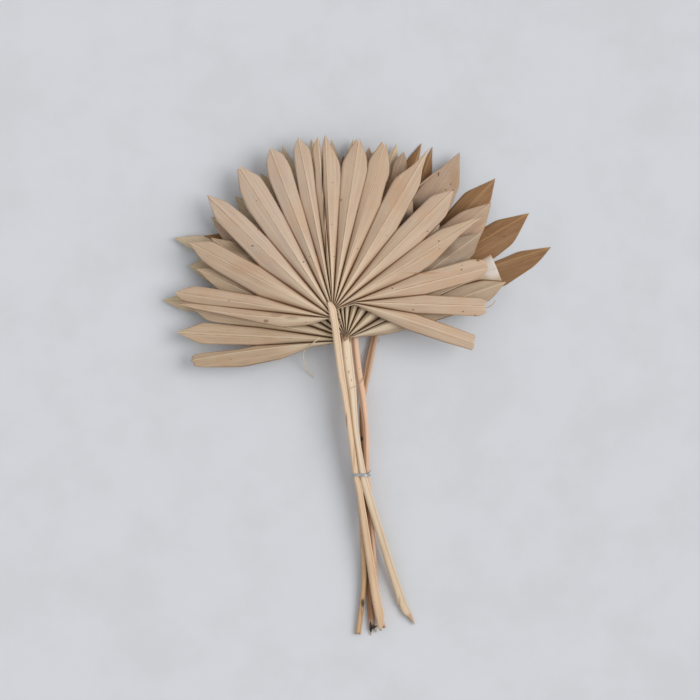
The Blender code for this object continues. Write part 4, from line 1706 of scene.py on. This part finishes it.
def second_leaf() -> Leaf:
    """The leaf under the front one, whose hub is lower.

    Returns:
        The leaf.
    """
    return Leaf(
        name="leaf_second",
        hub=(-11.0, 48.0),
        layer=3,
        roots=((0.0, (-3.5, -4.0)), (0.2, (0.0, 0.0)), (0.8, (0.0, 0.0)), (1.0, (3.0, 0.0))),
        leaflets=[
            Leaflet((-155.3, -22.5), [(-37, -9.6), (-64, -21), (-103, -29), (-147, -29.5), (-152.5, -27)],
                    [(-110, -11.6), (-146, -15.2), (-153.2, -17.3)], (-90, -7.5), -2.5, end=End.TORN),
            Leaflet((-168.5, 5.5), [(-117, -6.7), (-146, -6)], [(-144, 15.5)], (-86, 10.6),
                    tone=(1.2, 0.4)),
            Leaflet((-152.2, 29.7), [(-122.2, 14.4), (-138.8, 17)]),
            # The next two leaflets are darkened by their tone as painted shade: the front leaf's shadow
            # falls across them.
            Leaflet((-148.8, 69), [(-130, 49.7)], tone=(-0.3, 0.1)),
            Leaflet((-134, 99.6), tone=(-1.8, 0.3)),
            Covered(7, 150.0, ((-21.5, 24.5), (-15.5, 28.5), (-9, 31), (-4.2, 31.5), (0.5, 32),
                               (8.3, 31.5), (15.8, 28.5))),
            Leaflet((134.4, 104.5), right=[(125.2, 80), (133, 100)], neck=(24.9, 23.5),
                    tone=(-3.2, -0.3)),
            Leaflet((150.8, 70), [(139, 80), (145, 83.4)], [(134, 59), (155.8, 57)], (114, 52.4),
                    end=End.CUT, tone=(0.5, -0.6)),
            Leaflet((158.9, 55.4), [(136.9, 57.8)], [(39.6, 3.3), (64, 9), (106, 22.3), (144, 37)],
                    tone=(-1.7, -0.1)),
        ],
        stem=Stem(rows=[
            (-11.0, 50, 31.6, 3.0, 1.8), (-10.6, 44, 32.2, 4.6, 2.6), (-10.2, 38, 31.8, 4.7, 2.8),
            (-8.6, 22, 30.4, 4.8, 2.8), (-6.6, 8, 29.0, 4.5, 2.8), (-4.6, -6, 27.8, 3.9, 2.8),
            (-3.0, -24, 26.2, 3.2, 2.7), (-1.2, -44, 24.6, 2.7, 2.7),
            (2.6, -68, 22.4, 2.9, 2.7), (6.2, -89, 21.1, 3.4, 2.7), (11.3, -109, 19.4, 3.7, 2.7),
            (40.8, -204, 6.6, 4.1, 2.9), (47.3, -222, 3.6, 4.3, 2.8), (50.6, -231, 3.0, 4.3, 2.4)],
            slant=-9.4, tear=0.4, end_reach=26.0, scorch=0.2),
        blade_finish=GREY_STRAW,
        stem_finish=STEM_PALE,
    )


def middle_leaf() -> Leaf:
    """The third leaf, on a reddish stem.

    Returns:
        The leaf.
    """
    return Leaf(
        name="leaf_middle",
        hub=(-4.0, 74.0),
        layer=2,
        roots=((0.0, (-3.0, -3.0)), (0.2, (0.0, 0.0)), (0.8, (0.0, 0.0)), (1.0, (3.0, -3.0))),
        leaflets=[
            Leaflet((-124, -16)),
            Covered(2, 130.0),
            Leaflet((-138.6, 87.6)),
            Covered(4, 148.0),
            Leaflet((16.1, 163.8)),
            Leaflet((50.2, 159.1), [(38, 135.5), (40.6, 150.2)], [(54.6, 150.2)]),
            Leaflet((106, 158.8), [(67.4, 126), (80.8, 138.7)],
                    [(97.4, 103), (106.3, 126), (106.9, 154.7)]),
            Leaflet((137.6, 108.8), [(108, 100.5)], [(120.5, 56), (126, 72), (132.5, 86)]),
            Leaflet((122, 36)),
            Leaflet((118, 12)),
        ],
        stem=Stem(rows=[
            (-4.0, 74, 22.8, 4.6, 3.0), (-3.0, 62, 22.2, 3.4, 2.6), (-2.4, 46, 21.5, 3.8, 2.6),
            (-0.2, 26, 20.6, 3.6, 2.6), (1.8, 11, 19.9, 3.7, 2.6), (4.4, -4, 19.2, 3.6, 2.6),
            (6.8, -22, 18.3, 3.1, 2.6),
            (9.2, -48, 17.2, 2.7, 2.6), (9.7, -89, 15.3, 2.8, 2.6), (12.3, -109, 13.6, 2.8, 2.6),
            (16.8, -174, 7.6, 2.8, 2.6), (18.8, -200, 5.2, 2.8, 2.6), (21.4, -222, 3.6, 2.6, 2.6),
            (27.0, -241, 2.4, 1.4, 2.4)],
            groove=(56.0, 0.2, 0.36), scorch=0.8),
        blade_finish=GREY_TAN,
        stem_finish=STEM_RED,
    )


def fourth_leaf() -> Leaf:
    """The fourth leaf, whose stem is hidden above the tie.

    Returns:
        The leaf.
    """
    return Leaf(
        name="leaf_fourth",
        hub=(-19.0, 86.0),
        layer=1,
        roots=((0.0, (-3.0, -3.0)), (0.2, (0.0, 0.0)), (0.8, (0.0, 0.0)), (1.0, (3.0, -3.0))),
        leaflets=[
            Leaflet((-118, -36)),
            Leaflet((-174.2, 0), [(-144.2, -12.1), (-158.2, -9.5)], [(-161.4, 4.4)]),
            Leaflet((-148, 33.5), right=[(-136, 41)]),
            Leaflet((-163.1, 61.6), [(-146, 50)]),
            Covered(3, 150.0),
            Leaflet((-55.3, 153.4), right=[(-46.4, 140.7)]),
            Leaflet((-26.6, 159.8)),
            Leaflet((-6, 159.5)),
            Leaflet((15.4, 160.5)),
            Covered(1, 150.0),
            Leaflet((58.1, 154.8)),
            Covered(4, 138.0),
            Leaflet((126, 4)),
        ],
        stem=Stem(rows=[
            (-19.0, 86, 12.8, 4.6, 3.0), (-17.6, 72, 12.4, 3.0, 2.6), (-14.5, 36, 13.0, 2.8, 2.6),
            (-8.6, -6, 14.2, 2.7, 2.6), (-3.4, -50, 15.2, 2.7, 2.6), (1.1, -89, 15.4, 2.8, 2.6),
            (2.9, -109, 13.4, 2.8, 2.6), (7.2, -174, 9.4, 2.8, 2.6), (6.4, -204, 6.6, 2.6, 2.6),
            (1.1, -247.5, 2.7, 2.7, 2.6)], tear=1.2, scorch=0.0),
        blade_finish=GREEN_TAN,
        stem_finish=STEM_TAN,
    )


def back_leaf() -> Leaf:
    """The lowest leaf, dark brown.

    Returns:
        The leaf.
    """
    return Leaf(
        name="leaf_back",
        hub=(24.0, 86.0),
        layer=0,
        roots=((0.0, (-3.0, -3.0)), (0.2, (0.0, 0.0)), (0.8, (0.0, 0.0)), (1.0, (3.0, -3.0))),
        leaflets=[
            Leaflet((-146, -18)),
            Covered(1, 152.0),
            Leaflet((-176, 64)),
            Leaflet((-137.2, 100.5)),
            Leaflet((-115, 119)),
            Covered(3, 148.0),
            Leaflet((40.2, 155.5), [(26, 140.5)], [(38, 142)], bow=3, tone=(-0.6, 0.0)),
            Leaflet((51.2, 151.8), [(38, 130)], [(51.2, 126), (51, 144)], tone=(0.6, 0.6)),
            Covered(1, 140.0),
            Leaflet((113.4, 120.5), [(70, 91.4), (84.3, 107.8)], [(109.2, 96)]),
            Leaflet((147.1, 86.3), [(105.7, 74), (114.9, 79.7)],
                    [(112.7, 41.2), (131.6, 56), (137.2, 65.1)]),
            Leaflet((169, 52.7), [(113.4, 38), (137.4, 48.6)], [(122, 13), (152.7, 33.3), (160.8, 41.4)]),
            Leaflet((106, 3)),
        ],
        stem=Stem(rows=[
            (24.0, 86, 3.9, 4.6, 3.2), (21.2, 72, 3.3, 3.2, 2.7), (17.0, 48, 4.2, 3.1, 2.7),
            (13.4, 31, 5.0, 3.5, 2.7), (9.9, 12, 6.0, 3.3, 2.7), (7.1, -4, 6.6, 2.9, 2.6),
            (4.7, -22, 7.4, 2.6, 2.6),
            (5.2, -44, 8.2, 2.6, 2.6), (8.0, -74, 9.3, 2.7, 2.6), (8.3, -89, 9.7, 2.7, 2.6),
            (9.3, -120, 7.2, 2.7, 2.6), (10.5, -160, 4.0, 2.8, 2.6), (11.8, -204, 2.7, 2.9, 2.6),
            (14.8, -241, 2.7, 3.0, 2.6)], groove=(66.0, 0.24, 0.45), tear=3.2, scorch=0.6,
            end_reach=9.0),
        blade_finish=BROWN,
        stem_finish=STEM_BROWN,
    )


@dataclass
class Tie:
    """The flat metal strip round the stems, with a pointed tail and a twisted end.

    Attributes:
        y: where it lies along the stems.
        width: its width.
        thickness: its thickness.
        clearance: how far clear of the stems its inner side runs.
        samples: how many points go round it.
        rubbed: how far its edges are rubbed round.
        end_rubbed: the same on its two ends, which are drawn finer.
        end_step: spacing of the points along the two ends.
        tail: (x, y, z, half width, turn in degrees) along the left end.
        twist: the same along the right end.
        finish: its finish.
    """

    y: float = -89.0
    width: float = 2.8
    thickness: float = 0.5
    clearance: float = 0.45
    samples: int = 96
    rubbed: float = 0.12
    end_rubbed: float = 0.08
    end_step: float = 0.25
    tail: Sequence[Row] = (
        (-1.6, -88.9, 20.6, 1.4, 20.0), (-2.6, -89.0, 20.2, 1.3, 24.0), (-3.8, -89.6, 19.6, 0.8, 30.0),
        (-4.9, -90.2, 19.0, 0.15, 34.0))
    twist: Sequence[Row] = (
        (7.0, -89.0, 25.2, 1.4, 0.0), (8.8, -88.9, 25.0, 1.4, -12.0), (10.4, -88.0, 24.2, 1.3, -34.0),
        (11.8, -86.6, 23.0, 1.1, -60.0), (13.2, -84.9, 21.8, 0.9, -80.0), (13.9, -83.7, 21.2, 0.5, -86.0))
    finish: TieFinish = field(default_factory=TieFinish)

    def loop(self, leaves: Sequence[Leaf], offset: float) -> np.ndarray:
        """A band stretched round the stems.

        Args:
            leaves: the leaves whose stems it holds.
            offset: how far clear of them it runs.

        Returns:
            Points in X and Z.
        """
        sections = []
        for leaf in leaves:
            rows = np.array(leaf.stem.rows)[::-1]
            sections.append([float(np.interp(self.y, rows[:, 1], rows[:, k])) for k in (0, 2, 3, 4)])
        out = []
        for angle in 2.0 * math.pi * np.arange(self.samples) / self.samples:
            dx, dz = math.cos(angle), math.sin(angle)
            touching = []
            for x, z, wide, high in sections:
                size = math.hypot(wide * dx, high * dz)
                px = x + wide**2 * dx / size + offset * dx
                pz = z + high**2 * dz / size + offset * dz
                touching.append((px * dx + pz * dz, px, pz))
            out.append(max(touching)[1:])
        return np.array(out)

    def build(self, leaves: Sequence[Leaf], effects: Effects) -> None:
        """Make the strip and hand it over.

        Args:
            leaves: the leaves whose stems it holds.
            effects: the shared effects.
        """
        material = self.finish.material("grey_strip", effects)
        inner = self.loop(leaves, self.clearance)
        outer = self.loop(leaves, self.clearance + self.thickness)
        half = self.width / 2.0 - self.rubbed
        ring = []
        for loop, y in ((inner, -half), (inner, half), (outer, half), (outer, -half)):
            ring.append(np.stack([loop[:, 0], np.full(len(loop), self.y + y), loop[:, 1]], axis=1))
        places = np.stack(ring, axis=1)
        patch = Patch()
        patch.add_grid(np.vstack([places, places[:1]]), {}, closed=True)
        piece = patch.to_object("tie_strip", material)
        self._rub(piece, self.rubbed)
        hand_over(piece, "tie")
        self._ends(material)

    @staticmethod
    def _rub(piece: bpy.types.Object, width: float) -> None:
        """Round a piece's edges.

        Args:
            piece: the piece.
            width: how far.
        """
        bevel = piece.modifiers.new("rubbed_edge", "BEVEL")
        bevel.width = width * MM
        bevel.segments = 2

    def _ends(self, material: bpy.types.Material) -> None:
        """Make the pointed tail on the left and the twisted end that rises on the right.

        Args:
            material: the strip's material.
        """
        patch = Patch()
        for rows in (self.tail, self.twist):
            path = smooth_path(rows, self.end_step)
            forward = np.gradient(path[:, :3], axis=0)
            forward /= np.linalg.norm(forward, axis=1)[:, None]
            across = np.cross((0.0, 0.0, 1.0), forward)
            across /= np.linalg.norm(across, axis=1)[:, None]
            up = np.cross(forward, across)
            turn = np.radians(path[:, 4])[:, None]
            side = across * np.cos(turn) + up * np.sin(turn)
            face = np.cross(forward, side)
            half, thick = path[:, 3][:, None], self.thickness / 2.0
            corners = [path[:, :3] + side * half * a + face * thick * b
                       for a, b in ((-1, -1), (1, -1), (1, 1), (-1, 1))]
            start = patch.add_grid(np.stack(corners, axis=1), {}, closed=True)
            last = start + 4 * (len(path) - 1)
            patch.faces += [tuple(range(start, start + 4)), tuple(range(last + 3, last - 1, -1))]
        piece = patch.to_object("tie_ends", material)
        self._rub(piece, self.end_rubbed)
        hand_over(piece, None)


@dataclass(frozen=True)
class Thread:
    """A loose fibre or sliver.

    Attributes:
        name: the piece's name.
        path: its path in the frame.
        radius: its radius where it is thickest.
        leaf: the name of a leaf node; not used.
        finish: its finish.
        bluntness: the power that shapes its ends, lower for blunter ones.
    """

    name: str
    path: Sequence[Point]
    radius: float
    leaf: str
    finish: ThreadFinish
    bluntness: float = 0.5

    def build(self, effects: Effects) -> None:
        """Make the fibre and hand it over.

        Args:
            effects: the shared effects.
        """
        path = smooth_path([(*point, 1.0) for point in self.path], 0.8)[:, :3]
        share = np.linspace(0.0, 1.0, len(path))
        radii = self.radius * (0.25 + 0.75 * np.sin(math.pi * np.clip(share, 0.02, 0.98)) ** self.bluntness)
        patch = Patch()
        patch.add_tube(path, radii, 8)
        material = self.finish.material(self.name + "_fibre", effects)
        hand_over(patch.to_object(self.name, material), None)


@dataclass(frozen=True)
class FibreTuft:
    """Many short crossing fibres where a blade meets its stem.

    Attributes:
        name: the piece's name.
        low: the corner of their patch with the lowest X, Y and Z.
        high: the opposite corner.
        count: how many fibres.
        length: their length.
        lean: the bearing most of them follow, in degrees.
        leaf: the name of a leaf node; not used.
        finish: their finish.
        radius: their radius.
        spread: how far their bearings differ from the lean, in degrees.
    """

    name: str
    low: Point
    high: Point
    count: int
    length: float
    lean: float
    leaf: str
    finish: ThreadFinish
    radius: float = 0.2
    spread: float = 70.0

    def build(self, effects: Effects) -> None:
        """Make the fibres as one piece and hand it over.

        Args:
            effects: the shared effects.
        """
        rng = random.Random(SEED + self.count)
        patch = Patch()
        for _ in range(self.count):
            middle = [rng.uniform(a, b) for a, b in zip(self.low, self.high)]
            angle = math.radians(self.lean + rng.uniform(-self.spread, self.spread))
            half = self.length * rng.uniform(0.3, 0.6)
            bend = rng.uniform(-0.25, 0.25) * self.length
            rows = [(middle[0] + math.cos(angle) * half * s - math.sin(angle) * bend * (1 - s * s),
                     middle[1] + math.sin(angle) * half * s + math.cos(angle) * bend * (1 - s * s),
                     middle[2] - 0.3 * abs(s)) for s in (-1.0, -0.5, 0.0, 0.5, 1.0)]
            path = smooth_path(rows, 0.5)
            patch.add_tube(path, np.full(len(path), self.radius * rng.uniform(0.6, 1.2)), 5)
        material = self.finish.material(self.name + "_fibre", effects)
        hand_over(patch.to_object(self.name, material), None)


PALE_FIBRE = ThreadFinish(srgb(238, 220, 190))
TAN_FIBRE = ThreadFinish(srgb(190, 152, 114))
KNOT_FIBRE = ThreadFinish(srgb(184, 150, 118))
RUST_FIBRE = ThreadFinish(srgb(198, 160, 132))
CHARRED = ThreadFinish(srgb(44, 34, 28))
PITH = ThreadFinish(srgb(196, 162, 126))
ROLLED_RIM = ThreadFinish(srgb(192, 164, 138))


def tufts() -> List[FibreTuft]:
    """The torn fibres at the two hubs that show.

    Returns:
        The tufts.
    """
    return [
        FibreTuft("tuft_front_hub", (-26.5, 75.5, 43.0), (-20.5, 79.0, 45.0), 16, 3.4, 10.0,
                  "leaf_front", KNOT_FIBRE, 0.25),
        FibreTuft("tuft_second_hub", (-17.5, 45.2, 33.5), (-6.2, 52.0, 36.2), 46, 4.2, 95.0,
                  "leaf_second", KNOT_FIBRE, 0.26),
        FibreTuft("tuft_net", (-20.3, 54.0, 37.0), (-16.8, 74.0, 39.5), 22, 4.6, 115.0,
                  "leaf_front", PALE_FIBRE, 0.16, 40.0),
    ]


def threads() -> List[Thread]:
    """The loose fibres that hang from the hubs and lie across the stems.

    Returns:
        The fibres.
    """
    return [
        Thread("thread_long", [(-37, 48.7, 39.5), (-42, 44.6, 38), (-46.8, 40.3, 33), (-52.3, 36.2, 24),
                               (-53.6, 28.1, 14), (-50.5, 17.4, 6), (-46, 11.8, 2.5),
                               (-43.1, 8, 0.7)], 0.6, "leaf_second", PALE_FIBRE, 0.25),
        Thread("thread_curl", [(10.3, 43.5, 24), (7.5, 37, 20), (5.0, 31.3, 15), (4.4, 28.5, 10),
                               (5.8, 26.1, 6)], 0.26, "leaf_middle", TAN_FIBRE),
        Thread("thread_short_curl", [(22.6, 48.6, 22), (22.0, 46.3, 19), (20.6, 43.0, 15)], 0.3,
               "leaf_middle", TAN_FIBRE),
        Thread("thread_strand", [(-8.3, -3.7, 31.2), (-4.0, -1.2, 31.4), (0, 0.4, 28), (4, 4, 24.6),
                                 (8, 11.5, 20), (10.8, 16.0, 12.0)], 0.3, "leaf_second", TAN_FIBRE),
        Thread("thread_far_end", [(127.4, 77.2, 31), (133, 79.6, 30.4), (137, 83, 30),
                                  (138.2, 86.2, 29.6)], 0.42, "leaf_front", RUST_FIBRE),
        Thread("rolled_rim", [(83, 216.4, 14.6), (77.5, 212.6, 16.0), (70.5, 207, 17.4),
                              (64.5, 202.2, 18.2), (60, 198, 18.2)], 1.15, "leaf_middle",
               ROLLED_RIM, 0.35),
        Thread("sliver_charred", [(13.4, -235.5, 4.2), (13.6, -240, 3.8), (14.0, -246.0, 2.6)], 1.25,
               "leaf_back", CHARRED),
        Thread("sliver_crossing", [(14.0, -243.0, 4.8), (16.6, -241.6, 5.2), (20.4, -239.8, 5.2)], 0.8,
               "leaf_back", CHARRED),
        Thread("sliver_tip", [(13.2, -238, 2.4), (13.6, -244, 2.0), (13.9, -249.2, 1.5)], 0.8,
               "leaf_back", PITH),
        Thread("sliver_side", [(16.2, -238, 3.0), (17.2, -243, 2.4), (19.8, -246.2, 1.6)], 0.65,
               "leaf_back", PITH),
    ]


@dataclass
class Setting:
    """The plain pale surface, the soft light from the right and the camera above.

    Attributes:
        floor_size: the surface's side, in metres.
        view_width: the width that the camera sees, in metres.
        view_centre: the place it is above, in metres.
        camera_height: its height, in metres.
        key_from: the direction that the window light comes from.
        key_spread: how wide the window looks, in degrees.
        key_power: how strong its light is.
        key_tint: the light's colour.
        sky_strength: how strong the room's even light is.
        sky_tint: that light's colour.
        floor_finish: the surface's finish.
    """

    floor_size: float = 16.0
    view_width: float = 0.7
    view_centre: Plan = (-0.007, 0.036)
    camera_height: float = 2.0
    key_from: Point = (1.7, 0.25, 1.9)
    key_spread: float = 42.0
    key_power: float = 1.62
    key_tint: Colour = (1.0, 0.99, 0.975)
    sky_strength: float = 0.575
    sky_tint: Colour = (0.99, 0.99, 1.0)
    floor_finish: FloorFinish = field(default_factory=FloorFinish)

    def build(self, effects: Effects) -> None:
        """Lay the surface, and set the lights and the camera.

        Args:
            effects: the shared effects.
        """
        self._floor(effects)
        self._lights()
        self._camera()
        bpy.context.scene.view_settings.view_transform = "Standard"

    def _floor(self, effects: Effects) -> None:
        """Lay the pale surface.

        Args:
            effects: the shared effects.
        """
        half = self.floor_size / 2.0 / MM
        steps = np.linspace(-half, half, 9)
        x, y = np.meshgrid(steps, steps)
        patch = Patch()
        patch.add_grid(np.stack([x, y, np.zeros_like(x)], axis=2), {})
        floor = patch.to_object("pale_surface", self.floor_finish.material("pale_surface", effects))

    def _lights(self) -> None:
        """Set the soft window light and the even light of the room."""
        lamp = bpy.data.lights.new("window_light", "SUN")
        lamp.angle = math.radians(self.key_spread)
        lamp.energy = self.key_power
        lamp.color = self.key_tint
        holder = bpy.data.objects.new("window_light", lamp)
        holder.location = self.key_from
        holder.rotation_euler = (-Vector(self.key_from)).to_track_quat("-Z", "Y").to_euler()
        bpy.context.collection.objects.link(holder)
        world = bpy.data.worlds.new("room_light")
        world.use_nodes = True
        background = world.node_tree.nodes["Background"]
        background.inputs["Color"].default_value = (*self.sky_tint, 1.0)
        background.inputs["Strength"].default_value = self.sky_strength
        bpy.context.scene.world = world

    def _camera(self) -> None:
        """Put the camera straight above, looking down."""
        data = bpy.data.cameras.new("top_camera")
        data.type = "ORTHO"
        data.ortho_scale = self.view_width
        holder = bpy.data.objects.new("top_camera", data)
        holder.location = (*self.view_centre, self.camera_height)
        bpy.context.collection.objects.link(holder)
        bpy.context.scene.camera = holder


def main() -> None:
    """Build the bunch and its setting in order."""
    logging.basicConfig(level=logging.INFO, format="%(name)s: %(message)s")
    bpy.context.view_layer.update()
    effects = Effects()
    leaves = [back_leaf(), fourth_leaf(), middle_leaf(), second_leaf(), front_leaf()]
    for leaf in leaves:
        leaf.build(effects)
    Tie().build(leaves, effects)
    for fibres in threads() + tufts():
        fibres.build(effects)
    Setting().build(effects)


if __name__ == "__main__":
    main()
